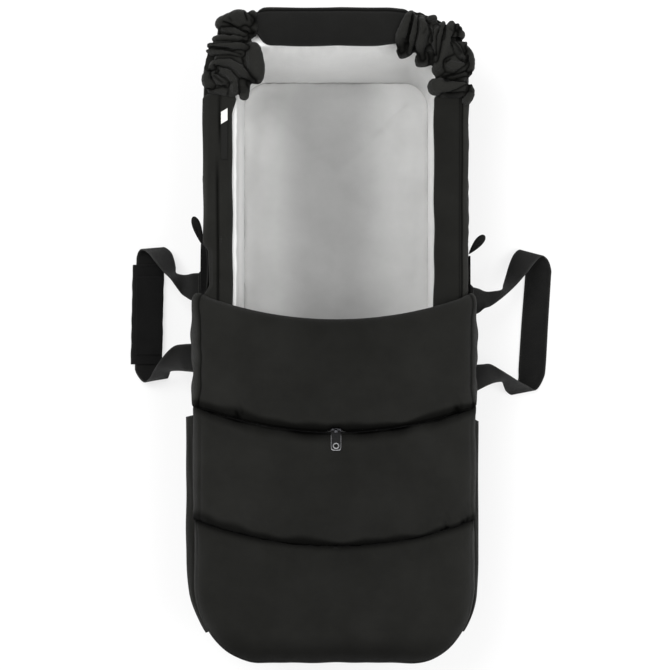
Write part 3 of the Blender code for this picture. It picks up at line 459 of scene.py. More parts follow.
def woven(name, colours, thread, bump=0.0004, roughness=0.85, sheen=0.04, patch=0.045, ribs=1.0):
    """Woven cloth: bumps = sin(2 pi u / thread) * sin(2 pi v / (ribs * thread)), two dye shades in soft patches.
    The attribute fold is painted shade and light: dye, nap and gloss are all multiplied by 1 - 0.9 * fold."""
    made, tree, shader = blank_material(name)
    flat = add(tree, "ShaderNodeUVMap", {"uv_map": "cloth"})
    axes = add(tree, "ShaderNodeSeparateXYZ", Vector=flat).outputs
    across = add(tree, "ShaderNodeMath", multiply, _0=axes[0], _1=2 * math.pi / thread)
    along = add(tree, "ShaderNodeMath", multiply, _0=axes[1], _1=2 * math.pi / (ribs * thread))
    across, along = (add(tree, "ShaderNodeMath", {"operation": "SINE"}, _0=turns) for turns in (across, along))
    crossing = add(tree, "ShaderNodeMath", multiply, _0=across, _1=along)
    place = add(tree, "ShaderNodeTexCoord").outputs["Object"]
    mottle = add(tree, "ShaderNodeTexNoise", Vector=place, Scale=1 / patch, Detail=3.0, Roughness=0.6)
    lint = add(tree, "ShaderNodeTexNoise", Vector=place, Scale=900.0, Detail=2.0)
    shade = add(tree, "ShaderNodeMath", multiply_add, _0=crossing, _1=0.16, _2=mottle)
    shade = add(tree, "ShaderNodeMath", multiply_add, _0=lint, _1=0.25, _2=shade)
    ramp = add(tree, "ShaderNodeMapRange", _0=shade, _1=0.35, _2=0.95)
    dye = add(tree, "ShaderNodeMix", {"data_type": "RGBA"}, _0=ramp, _6=linear(colours[0]), _7=linear(colours[1]))
    # The attribute fold paints shade where positive and light where negative.
    fold = add(tree, "ShaderNodeAttribute", {"attribute_name": "fold"}).outputs["Fac"]
    painted_light_share = add(tree, "ShaderNodeMath", multiply_add, _0=fold, _1=-painted_shade_strength, _2=1.0)
    dyed = add(tree, "ShaderNodeVectorMath", {"operation": "SCALE"}, _0=dye.outputs[2], Scale=painted_light_share)
    height = add(tree, "ShaderNodeMath", multiply_add, _0=lint, _1=0.8, _2=crossing)
    relief = add(tree, "ShaderNodeBump", Strength=0.55, Distance=bump, Height=height)
    nap = add(tree, "ShaderNodeMath", multiply, _0=painted_light_share, _1=sheen)
    gloss = add(tree, "ShaderNodeMath", multiply, _0=painted_light_share, _1=cloth_gloss)
    links = {"Base Color": dyed, "Normal": relief, "Sheen Weight": nap, "Specular IOR Level": gloss}
    for socket, node in links.items():
        tree.links.new(node.outputs[0], shader.inputs[socket])
    shader.inputs["Roughness"].default_value = roughness
    shader.inputs["Sheen Roughness"].default_value = 0.5
    return made


# %% The cloths of the nest
# Brushed cotton jersey: a matt black that greys where it catches the light.
black_jersey = woven("Brushed black cotton jersey", ("151513", "1E1E1C"), 0.0011)
# The same jersey as a darker copy: painted shade for the head band.
shaded_band_jersey = woven("Deep black cotton jersey", ("0F0F0E", "161615"), 0.0011)
# Combed cotton poplin in cool grey, fine and smooth.
grey_lining = woven("Grey combed cotton poplin", ("E4E4E3", "F0F0EF"), 0.0012, 0.00025, 0.8, 0.05)
# Thicker grey poplin quilted on foam, a shade darker than the walls.
grey_mattress = woven("Grey poplin over mattress foam", ("B6B6B5", "C2C2C1"), 0.0013, 0.0003, 0.85, 0.05)
# Coated oxford: thick paired threads that stand on the ground without wearing.
oxford_base = woven("Black coated oxford base cloth", ("171717", "1F1F1F"), 0.0018, 0.0005, 0.6, 0.0)
# Polypropylene webbing: fat ribs along the strap, crossed by short weft steps.
black_webbing = woven("Black polypropylene webbing", ("0A0A0A", "121211"), 0.0016, 0.0006, 0.6, 0.008, 0.02, 1.6)
# Nylon loop pile for the grip, close and dull.
grip_pile = woven("Black nylon loop pile", ("0C0C0C", "141414"), 0.0009, 0.0006, 0.95, 0.03)
# Satin ribbon of the blank care label: dense and slightly shiny.
label_satin = woven("White satin label ribbon", ("CFCFCB", "DDDDD9"), 0.0008, 0.0001, 0.45, 0.05)
# Twisted polyester thread, smooth enough to glint.
black_thread = woven("Black polyester sewing thread", ("1C1C1B", "2A2A28"), 0.0007, 0.0002, 0.5, 0.05)

# %% A label woven in two colours, and a mattress painted darker in its middle


def dim_colour(finish, share):
    """Multiply a finish's colour by what share, a node of its own tree, gives."""
    tree = finish.node_tree
    colour = tree.nodes["Principled BSDF"].inputs["Base Color"]
    dimmed = add(tree, "ShaderNodeVectorMath", {"operation": "SCALE"}, _0=colour.links[0].from_socket, Scale=share)
    tree.links.new(dimmed.outputs[0], colour)


# The label's lower part is woven in black, below a line that slants like the label's top: y - 0.60 x = 0.332.
label_slant = 0.60
label_black_below, label_white_above = 0.3319, 0.3323
tree = label_satin.node_tree
place = add(tree, "ShaderNodeTexCoord").outputs["Object"]
spot = add(tree, "ShaderNodeSeparateXYZ", Vector=place).outputs
above = add(tree, "ShaderNodeMath", multiply_add, _0=spot[0], _1=-label_slant, _2=spot[1])
lit = add(tree, "ShaderNodeMapRange", _0=above, _1=label_black_below, _2=label_white_above, _3=0.02, _4=1.0)
dim_colour(label_satin, lit)
shine = add(tree, "ShaderNodeMath", multiply, _0=lit, _1=cloth_gloss)
for socket in ("Specular IOR Level", "Sheen Weight"):
    tree.links.new(shine.outputs[0], tree.nodes["Principled BSDF"].inputs[socket])

# Painted shade: the middle of the mattress is painted a shade darker than its edges.
shaded_middle_x, shade_half, unshaded_half = -0.009, 0.021, 0.117
tree = grey_mattress.node_tree
place = add(tree, "ShaderNodeTexCoord").outputs["Object"]
spot = add(tree, "ShaderNodeSeparateXYZ", Vector=place).outputs
aside = add(tree, "ShaderNodeMath", {"operation": "ADD"}, _0=spot[0], _1=-shaded_middle_x)
aside = add(tree, "ShaderNodeMath", {"operation": "ABSOLUTE"}, _0=aside)
soft = {"interpolation_type": "SMOOTHSTEP"}
painted_light_and_shade = add(tree, "ShaderNodeMapRange", soft, _0=aside, _1=shade_half, _2=unshaded_half, _3=0.50, _4=1.0)
dim_colour(grey_mattress, painted_light_and_shade)
print("cloth finishes:", len(bpy.data.materials))

# %% [markdown]
# ## The tub: base, wall and lining
# The tub is a padded wall that is sewn to a stiff base. Its plan is a rectangle with round corners that
# grows a little on the way up. Each column of the grid knows on which corner or side it lies, so one
# formula gives the outline at every height.

# %% Rounded outlines as columns of a grid
tub_height, bulge_z = 0.166, 0.095
lining_floor_z = 0.007


def plan_columns(side, end, corner):
    """For each column: place across from -1 to 1, share towards the head, and angle, once round the plan."""
    up, turn = np.linspace(0, 1, side, endpoint=False), np.linspace(0, 90, corner, endpoint=False)
    flat = np.linspace(1, -1, end, endpoint=False)
    runs = (
        (side, 1, up, 0), (corner, 1, 1, turn), (end, flat, 1, 90), (corner, -1, 1, turn + 90),
        (side, -1, 1 - up, 180), (corner, -1, 0, turn + 180), (end, -flat, 0, 270), (corner, 1, 0, turn + 270),
        (1, 1, 0, 360),
    )
    across, share, angle = (np.concatenate([np.broadcast_to(run[k], run[0]) for run in runs]) for k in (1, 2, 3))
    return across, share, np.radians(angle)


def rounded_plan(columns, half, head, foot, head_radius, foot_radius):
    """Outline points: corner centre, plus the corner radius turned by the column's angle. Sizes may be arrays."""
    across, share, angle = columns
    sizes = (half, head, foot, head_radius, foot_radius)
    half, head, foot, head_radius, foot_radius = (np.atleast_1d(v)[:, None] for v in sizes)
    radius = foot_radius * (1 - share) + head_radius * share
    x = across * (half - radius) + radius * np.cos(angle)
    y = (foot + foot_radius) * (1 - share) + (head - head_radius) * share + radius * np.sin(angle)
    return x, y, np.cos(angle), np.sin(angle)


# %% The plans of tub and lining


def tub_plan(columns, z, grow):
    """The tub's outside at heights z: it widens up to the bulge, and comes in a little towards the rim."""
    half = np.interp(z, (0, bulge_z, tub_height), (0.152, 0.1605, 0.1575)) + grow
    rise = np.clip(z / bulge_z, 0, 1)
    head, foot = 0.356 + 0.032 * rise + grow, -0.378 - 0.007 * rise - grow
    return rounded_plan(columns, half, head, foot, 0.075 + grow, 0.082 + grow)


def cavity_plan(columns, z, inset):
    """The lining's inside at heights z: it leans outwards, most of all at the head."""
    rise = np.clip((z - lining_floor_z) / (tub_height - lining_floor_z), 0, 1)
    half, head, foot = 0.116 + 0.005 * rise - inset, 0.314 + 0.038 * rise - inset, -0.345 - 0.005 * rise + inset
    radius = 0.031 + 0.014 * rise - inset
    return rounded_plan(columns, half, head, foot, radius, radius)


print("tub", tub_height, "m high")

# %% The outer wall: jersey over wadding, with a piped seam at the bottom
wall_low, wall_high = 0.0018, 0.150
wall_z = np.concatenate((np.linspace(wall_low, 0.012, 9), np.linspace(0.0155, 0.1495, 40), np.full(8, 0.1502)))
wall_inset = np.concatenate((np.zeros(49), np.linspace(0.0006, 0.026, 8)))
x, y, out_x, out_y = tub_plan(plan_columns(150, 52, 34), wall_z, -wall_inset)
walk = walked(np.column_stack((x[20], y[20])))
level = wall_z[:, None]
share = (level - wall_low) / (wall_high - wall_low)
seam_piping = 0.0016 * dip(level - 0.0062, 0.0022) - 0.0014 * dip(level - 0.0102, 0.0016)
slack = 0.0012 * wander(walk, level * 2.2, 11, 0.075) + 0.0005 * wander(walk, level * 1.2, 12, 0.026)
crown = 0.0016 * np.sin(np.pi * share)
tuck = 0.0007 * fading(wall_high - level, 0.012) * wander(walk, 0 * walk, 13, 0.012)
push = seam_piping + crown + slack * np.sin(np.pi * np.clip(share, 0, 1)) ** 0.5 - tuck - 0.0008
outer_wall = sew("outer_wall_jersey", surface(x + push * out_x, y + push * out_y, level), black_jersey, weld=1e-6)
thicken(outer_wall, 0.0016)
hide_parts("outer_wall", "wall_padding")
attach(outer_wall, "tub")
print("outer wall", len(outer_wall.data.polygons), "faces")

# %% The base cloth: a coated oxford slab that closes the bottom
# Rings from the middle of the underside over the edge to the middle of the top: how far each is pulled in, and z.
ring_pull = np.array((0.9999, 0.6, 0.3, 0.1, 0.02, 0.004, 0, 0, 0.003, 0.2, 0.7, 0.9999))[:, None]
ring_z = np.array((0, 0, 0, 0, 0, 0, 0.0004, 0.0018, 0.0022, 0.0022, 0.0022, 0.0022))[:, None]
base_middle_y = -0.011
edge_x, edge_y, _, _ = rounded_plan(plan_columns(70, 24, 16), 0.1517, 0.3557, -0.3777, 0.0747, 0.0817)
x, y = edge_x * (1 - ring_pull), (edge_y - base_middle_y) * (1 - ring_pull) + base_middle_y
base_cloth = sew("base_oxford", surface(x, y, ring_z), oxford_base, weld=2e-5)
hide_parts("outer_base")
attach(base_cloth, "tub")
print("base", len(base_cloth.data.polygons), "faces")

# %% The lining: one bowl of grey poplin
lining_z = np.concatenate((np.full(3, 0.0072), np.linspace(0.0085, 0.1485, 44), (0.1497, 0.1502), np.full(6, 0.1503)))
turned_out = np.linspace(-0.003, -0.016, 6)
lining_inset = np.concatenate(((0.03, 0.012, 0.003), np.zeros(44), (-0.0003, -0.0014), turned_out))
x, y, out_x, out_y = cavity_plan(plan_columns(150, 52, 20), lining_z, lining_inset)
walk = walked(np.column_stack((x[30], y[30])))
level = lining_z[:, None]
near_top = smooth_step(0.04, 0.15, level)
folds = 0.0011 * wander(walk, level * 0.25, 21, 0.022) * near_top * smooth_step(0.10, 0.30, y)
loose = 0.0009 * wander(walk, level, 22, 0.06) * near_top
# Painted light and shade on the lining: the head wall is painted lighter towards its top, and the side walls lightest
# half way up.
head_rise = np.clip((level - 0.030) / 0.118, 0, 1)
head_wall_shading = 0.24 - 0.40 * head_rise + 0.04 * smooth_step(-0.02, 0.07, x)
side_wall_shading = 0.07 * smooth_step(0.110, 0.135, level) - 0.22 * dip(level - 0.085, 0.040)
tone = smooth_step(0.28, 0.315, y) * head_wall_shading + smooth_step(0.30, 0.24, y) * side_wall_shading
push = (-np.abs(folds) - np.abs(loose) * 0.7) * (lining_inset[:, None] >= 0)
lining_points = surface(x + push * out_x, y + push * out_y, level)
lining = sew("lining_poplin", lining_points, grey_lining, weld=1e-6, fold=tone)
face_inwards(lining)
thicken(lining, 0.0012)
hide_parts("lining")
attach(lining, "tub")
print("lining", len(lining.data.polygons), "faces")

# %% [markdown]
# ## The mattress
# A foam pad in a sewn cover lies loose on the base. Foam springs back, so its top is a soft crown with
# shallow hollows, and it pulls in at the seam round its edge. Rings of the same plan, moved inwards step by
# step, make the whole closed form, from the middle of the underside to the middle of the top.

# %% Mattress as closed rings
mattress_half, mattress_limit_z = 0.1163, 0.0335
edge_inset = (0.005, 0.0015, 0.0, 0.0, 0.0002, 0.0001, 0.0004, 0.0016)
edge_z = (0.0078, 0.0095, 0.0130, 0.0190, 0.0240, 0.0262, 0.0284, 0.0293)
top_inset = np.linspace(0.006, mattress_half, 42)
ring_inset = np.concatenate((np.linspace(mattress_half, 0.012, 9), edge_inset, top_inset))
ring_z = np.concatenate((np.full(9, 0.0075), edge_z, 0.0297 + 0.0030 * smooth_step(0.0, 0.045, top_inset)))
half = mattress_half - ring_inset
radius = np.minimum(np.maximum(0.031 - ring_inset, 0.003), half)
head = 0.3134 + 0.0042 * smooth_step(0.008, 0.030, ring_z) - ring_inset
x, y, out_x, out_y = rounded_plan(plan_columns(110, 36, 16), half, head, -0.3443 + ring_inset, radius, radius)
level = ring_z[:, None]
is_top = smooth_step(0.0275, 0.0300, level)
hollows = is_top * (0.0011 * wander(x, y, 31, 0.11) + 0.0004 * wander(x, y, 32, 0.035))
# Light thrown back by the walls makes the edges and three broad patches paler.
from_edge = ring_inset[:, None]
edge_glow = 0.36 * fading(from_edge, 0.016) * smooth_step(0.03, -0.06, x)
edge_glow += 0.20 * dip(x + 0.105, 0.045) * (dip(y - 0.27, 0.05) + smooth_step(0.07, 0.03, y))
edge_glow += 0.28 * fading(from_edge, 0.004) * smooth_step(0.02, 0.08, x) * smooth_step(0.22, 0.29, y)
edge_glow += 0.12 * dip(x - 0.058, 0.040) * smooth_step(0.16, 0.24, y)
puckers = 0.0006 * dip(level - 0.0268, 0.003) * wander(x, y, 33, 0.013)
top_z = np.minimum(level + hollows, mattress_limit_z)
mattress_points = surface(x + out_x * puckers, y + out_y * puckers, top_z)
mattress = sew("mattress", mattress_points, grey_mattress, weld=3e-5, fold=-is_top * edge_glow)
inflate(mattress, lambda p: (0, 0, 0.5) * smooth_step(0.028, 0.031, p[:, 2:]), cap=0.003)
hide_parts("mattress_cover", "mattress_foam")
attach(mattress, "tub")
print("mattress", len(mattress.data.polygons), "faces")

# %% [markdown]
# ## The padded rim
# The top edge of the wall is a soft roll: wadding in a jersey sleeve, with one seam along its top and two
# rows of stitches beside it. A flattened round profile carried along a line gives the roll. The seam is
# a groove in that profile, and the sleeve puckers most where the thread pulls it.

# %% A soft roll along any line
stitch_pitch, stitch_length, stitch_radius = 0.0034, 0.0024, 0.00042


def flattened_round(power, around):
    """Lateral and up shares once round a flattened section: signed powers of cosine and sine."""
    turn = np.linspace(0, 2 * np.pi, around + 1)
    return signed_power(np.cos(turn), 2 / power), signed_power(np.sin(turn), 2 / power)


def closing_ends(rows, ease):
    """1 along a roll, and down to 0 as a quarter circle over its first and last rows."""
    row = np.arange(rows)
    return np.sqrt(1 - (1 - np.clip(np.minimum(row, row[::-1]) / ease, 0, 1)) ** 2)


def roll_points(path, half_width, half_height, power, around, ease=6):
    """Rows of a flattened round section along a path, that shrinks to a point at both ends, and the section's
    own lateral and up shares."""
    ahead = np.gradient(path, axis=0)
    side = np.stack((ahead[:, 1], -ahead[:, 0], 0 * ahead[:, 0]), -1)
    side /= np.linalg.norm(side, axis=1, keepdims=True)
    lateral, rise = flattened_round(power, around)
    closing = closing_ends(len(path), ease)
    points = path[:, None, :] + side[:, None, :] * lateral[None, :, None] * (half_width * closing)[:, None, None]
    points[..., 2] += rise * (half_height * closing)[:, None]
    return points, lateral, rise


# %% Rows of stitches


def stitches(name, line):
    """A row of thread stitches: every pitch along a line of points lies a short six-sided spindle, its middle
    fuller than its ends."""
    way = walked(line)
    middles = np.arange(stitch_pitch / 2, way[-1] - stitch_pitch / 4, stitch_pitch)
    # at: the points that lie given distances along the line.
    at = lambda d: np.stack([np.interp(d, way, column) for column in line.T], -1)
    ahead = at(np.minimum(middles + 0.001, way[-1])) - at(np.maximum(middles - 0.001, 0))
    ahead /= np.linalg.norm(ahead, axis=1, keepdims=True)
    side = np.cross(ahead, (0, 0, 1.0))
    weak = np.linalg.norm(side, axis=1) < 0.2
    side[weak] = np.cross(ahead[weak], (1.0, 0, 0))
    side /= np.linalg.norm(side, axis=1, keepdims=True)
    up = np.cross(side, ahead)
    turn = np.arange(6)[:, None] * np.pi / 3
    ring = (side[:, None] * np.cos(turn) + up[:, None] * np.sin(turn))[:, None]
    shift = np.array((-0.5, -0.3, 0.3, 0.5))[:, None] * stitch_length
    full = np.array((0.35, 1, 1, 0.35))[:, None, None] * stitch_radius
    points = (at(middles)[:, None] + ahead[:, None] * shift)[:, :, None] + ring * full
    first = 24 * np.arange(len(middles))[:, None, None]
    quads = (grid_faces(4, 6, wrap_cols=True) + first).reshape(-1, 4)
    ends = (np.stack((np.arange(6)[::-1], np.arange(18, 24))) + first).reshape(-1, 6)
    mesh = bpy.data.meshes.new(name)
    mesh.from_pydata(points.reshape(-1, 3), [], quads.tolist() + ends.tolist())
    mesh.uv_layers.new(name="cloth")
    made = put(name, mesh)
    weld_points(made, 1e-7)
    mesh.shade_smooth()
    mesh.materials.append(black_thread)
    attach(made, "tub")


# %% The two side rims
rim_half_height, rim_power = 0.00785, 3.2
rim_middle = 0.1503 + rim_half_height
stitch_rows = (0.0032, 0.0052)


def pad_top(p):
    """How free a pad's top is to swell: 0 at the wall, all of its share 7 mm above, less sideways than upwards."""
    return (0.3, 0.3, 0.6) * smooth_step(0.152, 0.157, p[:, 2:])


def side_rim(side, sign, middle_x, seam_x, half_width, seed):
    """A straight roll with a pulled seam: a groove, and puckers that fade away from it. The left seam drifts
    outwards to the foot, a strap pulls that rim in, and its head end is wider. The right one has a second line."""
    y = np.linspace(-0.0697, 0.2890, 134)
    path = surface(middle_x, y, rim_middle)
    points, lateral, rise = roll_points(path, half_width, rim_half_height, rim_power, 104, ease=3)
    top = np.clip(rise, 0, 1) ** 0.5
    seam = seam_x - (side == "left") * 0.0039 * (1 - smooth_step(0.16, 0.285, y))
    away = np.abs(points[..., 0] - seam[:, None])
    pucker = 0.0006 * fading(away, 0.007) * wander(points[..., 1], away * 0.2, seed, 0.011)
    slack = 0.0006 * wander(points[..., 0] * 0.6, points[..., 1], seed + 1, 0.06)
    points[..., 2] += top * (pucker + slack - 0.0018 * dip(away, 0.0011))
    points[..., 0] += 0.0007 * wander(points[..., 1], points[..., 2], seed + 2, 0.08) * np.abs(lateral) ** 3
    if side == "left":
        strap = smooth_step(0.046, 0.060, y) * (1 - smooth_step(0.098, 0.112, y))
        points[..., 0] += 0.0064 * strap[:, None] * smooth_step(0.2, 0.9, -lateral)
        points[..., 0] += 0.0046 * smooth_step(0.262, 0.284, y)[:, None] * smooth_step(0.2, 0.9, lateral)
        outwards = seam[:, None] - points[..., 0]
        slope = -(0.14 + 0.75 * dip(y - 0.172, 0.035)[:, None]) * smooth_step(0.011, 0.016, outwards)
        second = 0
    else:
        outwards = points[..., 0] - seam[:, None]
        slope = 0.17 * (outwards < -0.001) - 0.40 * (outwards > 0.001)
        second = dip(outwards + 0.0030, 0.0007)
    # Painted shade in the seam's groove and painted light on the rim's outer slope; the right rim also gets painted
    # shade on its inner slope, and a dark line along its first row of stitches.
    lines = top * (np.maximum(0.85 * dip(away, 0.0010), 0.6 * second) + slope)
    made = sew(f"rim_roll_{side}", points, black_jersey, weld=2e-5, fold=lines)
    inflate(made, pad_top, cap=0.003)
    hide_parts(f"rim_{side}")
    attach(made, "tub")
    line = np.linspace(-0.068, 0.262, 60)
    for k, shift in enumerate(stitch_rows):
        inwards = np.interp(line, y, seam) - sign * shift
        stitches(f"rim_stitches_{side}_{k + 1}", surface(inwards, line, rim_middle + rim_half_height - 0.0001))
    return made


rims = [side_rim("left", -1, -0.1408, -0.1370, 0.0180, 41), side_rim("right", 1, 0.1366, 0.1500, 0.0212, 45)]
print("side rims", [len(rim.data.polygons) for rim in rims], "faces")

# %% The rim round the foot
x, y, _, _ = rounded_plan(plan_columns(64, 30, 30), 0.1385, 0.20, -0.3660, 0.06, 0.063)
foot_path = surface(x[0], y[0], rim_middle)
foot_path = foot_path[foot_path[:, 1] < -0.0700]
turning = np.argmax(np.linalg.norm(np.diff(foot_path, axis=0), axis=1)) + 1
foot_path = np.roll(foot_path, -turning, axis=0)
points, lateral, rise = roll_points(foot_path, 0.0190, rim_half_height, rim_power, 40)
points[..., 2] += 0.0006 * wander(points[..., 0], points[..., 1], 47, 0.05) * np.clip(rise, 0, 1)
rim_foot = sew("rim_roll_foot", points, black_jersey, weld=2e-5)
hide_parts("rim_foot")
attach(rim_foot, "tub")
print("foot rim from", foot_path[0].round(3), "to", foot_path[-1].round(3))

# %% [markdown]
# ## The head band and its gathers
# Behind the head runs a flat padded band. At both corners its sleeve is far longer than the elastic inside,
# so the jersey scrunches up into fat pleats that lie over each other. Each pleat is laid down as its own
# soft bolster along the line of the fold, all bolsters are fused by a voxel remesh, and the creases stay
# where two bolsters meet, just as they do in real gathered cloth.

# %% Head band
band_rows = 84
band_middle, band_half_height = 0.1611, 0.0107
x = np.linspace(-0.0965, 0.0905, band_rows)[:, None]
bow = ((x + 0.006) / 0.09) ** 2
far = 0.3900 - 0.0006 * bow - 0.0022 * (1 - smooth_step(-0.096, -0.076, x)) ** 2
far = far - 0.0022 * smooth_step(0.060, 0.090, x)
near = 0.3434 + 0.0014 * bow + 0.0105 * (1 - smooth_step(-0.097, -0.074, x)) ** 2
near = near + 0.0030 * smooth_step(0.045, 0.080, x)
lateral, rise = flattened_round(2.7, 64)
closing = closing_ends(band_rows, 5)[:, None]
y = (far + near) / 2 + (far - near) / 2 * (0.4 + 0.6 * closing) * (closing > 0) * lateral
z = band_middle + band_half_height * closing * rise
points = surface(x, y, z)
band_top = np.clip(rise, 0, 1) ** 0.5
band_seam = dip(y - (far - 0.0052), 0.0012) * band_top
points[..., 2] += band_top * 0.0008 * wander(points[..., 0], y * 0.5, 51, 0.07) - 0.0022 * band_seam
points[..., 1] += 0.0003 * wander(points[..., 0], z, 52, 0.09) * np.abs(lateral) ** 3
# Painted shade in the groove of the seam.
head_band = sew("head_band_padded", points, shaded_band_jersey, weld=2e-5, fold=0.8 * band_seam)
inflate(head_band, pad_top, cap=0.004)
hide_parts("head_band")
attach(head_band, "tub")
print("head band", len(head_band.data.polygons), "faces")

# %% Pleats of the gathered corners
# All in mm. Each pleat: half its width, its height over the wall, then x and y along its fold line from above.
left_pleats = (
    (6.1, 28, -99.5, 383.2, -98, 368.3, -98.4, 357),
    (8.6, 33.5, -139.6, 367.8, -127.2, 372.8, -112.5, 377.9, -102.3, 372.3),
    (4.5, 31, -135.1, 361.6, -121.5, 360.2, -108, 355.9), (5.1, 29, -105.7, 363.8, -98.4, 357.6),
    (4.5, 31, -145.8, 351.2, -123.8, 350.8, -105.7, 349.7), (5.4, 35, -151.4, 342.4, -127.2, 342.4, -105.7, 340.1),
    (4.3, 31.5, -153.1, 337.3, -138.5, 333.9, -121.5, 332.2, -111.4, 332.8),
    (10.7, 32, -98.9, 342.4, -96.1, 327.7, -94.4, 311.9, -97.2, 301.7),
    (5.9, 34.5, -149.8, 316.4, -139.6, 322, -123.8, 321.5, -109.1, 309.6, -97.2, 298.9),
    (3.6, 29, -143.5, 326.8, -124.9, 328.6, -112.5, 323.2), (5.6, 28, -150.9, 312.4, -154.3, 301.7, -149.2, 293.2),
    (4.7, 32, -145.2, 309.6, -138.5, 300.6, -130.6, 296.6),
    (5.2, 34, -138.5, 313.2, -127.2, 309, -121, 299.4, -120.2, 287), (6.5, 24, -106.8, 300.6, -110, 281.6),
    (4.7, 24, -150.3, 289.8, -131.7, 290.4),
)
right_pleats = (
    (7.5, 32, 89.6, 381.7, 82.2, 366.1, 76.8, 351.4, 78.7, 336.7), (11.1, 31, 80.6, 339, 82, 335.6),
    (5, 34, 94.5, 377.4, 92.2, 359.3, 87.7, 344.6, 86.3, 333.3),
    (6.5, 35, 101.6, 374.9, 103.2, 358.2, 99.4, 341.2, 101.8, 325.4), (11.3, 33, 103.2, 327.7, 103.6, 323.7),
    (6.2, 30.5, 109.2, 333.9, 110, 322.6), (4.5, 33, 109.7, 375.1, 117.7, 376),
    (2.3, 31, 110.9, 367.2, 112.9, 355.9, 110.9, 346.9), (3, 33, 121, 364.9, 116, 352.5, 116, 339, 118.2, 328.8),
    (4.3, 35, 127.8, 371.5, 122.7, 353.6, 120.5, 336.7, 117.7, 323.2),
    (7.2, 35.5, 138, 370.1, 132.3, 353.6, 127.8, 339, 122.2, 323.2, 116.5, 311),
    (5.6, 30, 146.4, 362.7, 139.1, 350.3), (6.8, 31, 141.9, 366.6, 148.4, 353.6),
    (6.8, 30, 149.8, 345.7, 152.7, 336.7), (5.4, 32, 155.5, 339, 159.4, 325.4, 158.1, 308.5),
    (4.1, 33.5, 139.1, 345.7, 147.6, 335.6, 151.5, 326.5), (7, 33, 131.2, 320.9, 143.6, 316.4, 151.5, 318.6),
    (4.5, 31, 159.7, 309.6, 147, 305.1, 130.1, 300.8), (11.1, 34, 113.7, 293.6, 132.3, 293.2, 150.4, 296.1),
    (5.9, 29, 156.9, 296.1, 159.4, 285.9, 153.6, 275.5), (4.1, 27, 126.7, 283.6, 150.4, 285.3),
)
# Fine creases: how deep the cloth dips, then x and y along the line.
left_creases = (
    (2, -132.8, 368.9, -118.1, 364.9, -104.6, 357), (1.2, -125.5, 373.1, -123.2, 370.4),
    (2.2, -107.4, 381.9, -104.6, 371.7), (1.4, -100.1, 372.8, -99.5, 366.6),
    (1.6, -145.2, 344.4, -124.9, 345.7, -104.6, 347.4), (1.6, -153.1, 340.1, -127.2, 336.7, -111.4, 331.1),
    (1, -152, 341.2, -144.1, 347.4), (1.4, -138.5, 358.2, -123.8, 354.5), (1.4, -110.8, 327.7, -109.1, 322),
    (1.6, -144.1, 317.5, -138.5, 311.9, -142.8, 309.4), (1.5, -144.1, 305.1, -133.9, 297.7),
    (1.2, -127.7, 297, -122.7, 297.4), (0.9, -113.6, 293.2, -106.3, 292.1), (0.9, -113.6, 290.2, -106.6, 289),
    (0.9, -113.6, 287, -107.7, 286.3), (1.6, -149.8, 290.4, -129.4, 293.8), (1, -109.1, 350.3, -106.3, 353.4),
)
right_creases = (
    (0.9, 78.1, 349.1, 83.8, 349.4), (0.9, 77.6, 346.1, 83.8, 346.4), (0.9, 78.7, 343.3, 83.8, 343.5),
    (1.8, 91.1, 380.7, 87.4, 361.6, 84, 350.3, 83.8, 341.2), (1, 103, 354.8, 106.4, 360.6),
    (1.6, 110.9, 369.5, 112, 346.9), (1, 138, 358.2, 134.6, 360.6), (2, 138, 350.3, 153.2, 348.9),
    (1.5, 138, 346.9, 147.2, 332.2), (1.6, 154.9, 329.9, 152.7, 317.5, 138, 307.3, 124.4, 305.1),
    (1.5, 134.6, 326.3, 128.4, 321.8), (1.4, 148.1, 334.4, 155.5, 328.6),
    (2.2, 124.4, 305.1, 140.2, 300.6, 159.7, 299.2), (1.5, 128.9, 282.5, 145.9, 290.4, 153.8, 295.5),
    (1.4, 154.9, 289.3, 162.8, 286.8), (1.2, 128.9, 361.6, 126.7, 348), (1.2, 148.1, 325.4, 151.5, 323.2),
)
# The line of the elastic inside, under all pleats.
left_core = ((-93.5, 367), (-112, 364), (-124, 350), (-125, 328), (-128, 305), (-137, 284))
right_core = ((80, 366), (97, 362), (114, 353), (128, 341), (134, 320), (138, 298), (139, 282))
pleat_floor, core_height = 0.1508, 165.0
gather_voxel = 0.0013
print("pleats", len(left_pleats), len(right_pleats), "and creases", len(left_creases), len(right_creases))

# %% Laying down the pleats and fusing them


def bolster(half_width, height, *line):
    """One pleat: a roll along its fold line and a quarter of its width past both ends. Its size is full in the
    middle and 0.84 of that at the ends."""
    line = np.column_stack((np.reshape(line, (-1, 2)), np.zeros(len(line) // 2)))
    for end, inner in ((0, 1), (-1, -2)):
        line[end] += (line[end] - line[inner]) / np.linalg.norm(line[end] - line[inner]) * half_width * 0.55
    path = curve_through(line / 1000, 22)
    path[:, 2] = pleat_floor + height / 2000
    swell = 0.84 + 0.16 * np.sin(np.linspace(0, np.pi, 22))
    return roll_points(path, half_width / 1000 * swell, height / 2000 * swell, 2.2, 20, ease=4)[0]


def fuse(name, rolls, finish):
    """All closed rolls in one mesh, remeshed to a single skin."""
    points = np.concatenate([r.reshape(-1, 3) for r in rolls])
    start = np.cumsum([0] + [r.shape[0] * r.shape[1] for r in rolls[:-1]])
    quads = np.concatenate([grid_faces(*r.shape[:2]) + at for r, at in zip(rolls, start)])
    mesh = bpy.data.meshes.new(name)
    mesh.from_pydata(points, [], quads.tolist())
    made = put(name, mesh)
    weld_points(made, 2e-5)
    remesh(made, gather_voxel)
    made.data.materials.clear()
    made.data.materials.append(finish)
    return made


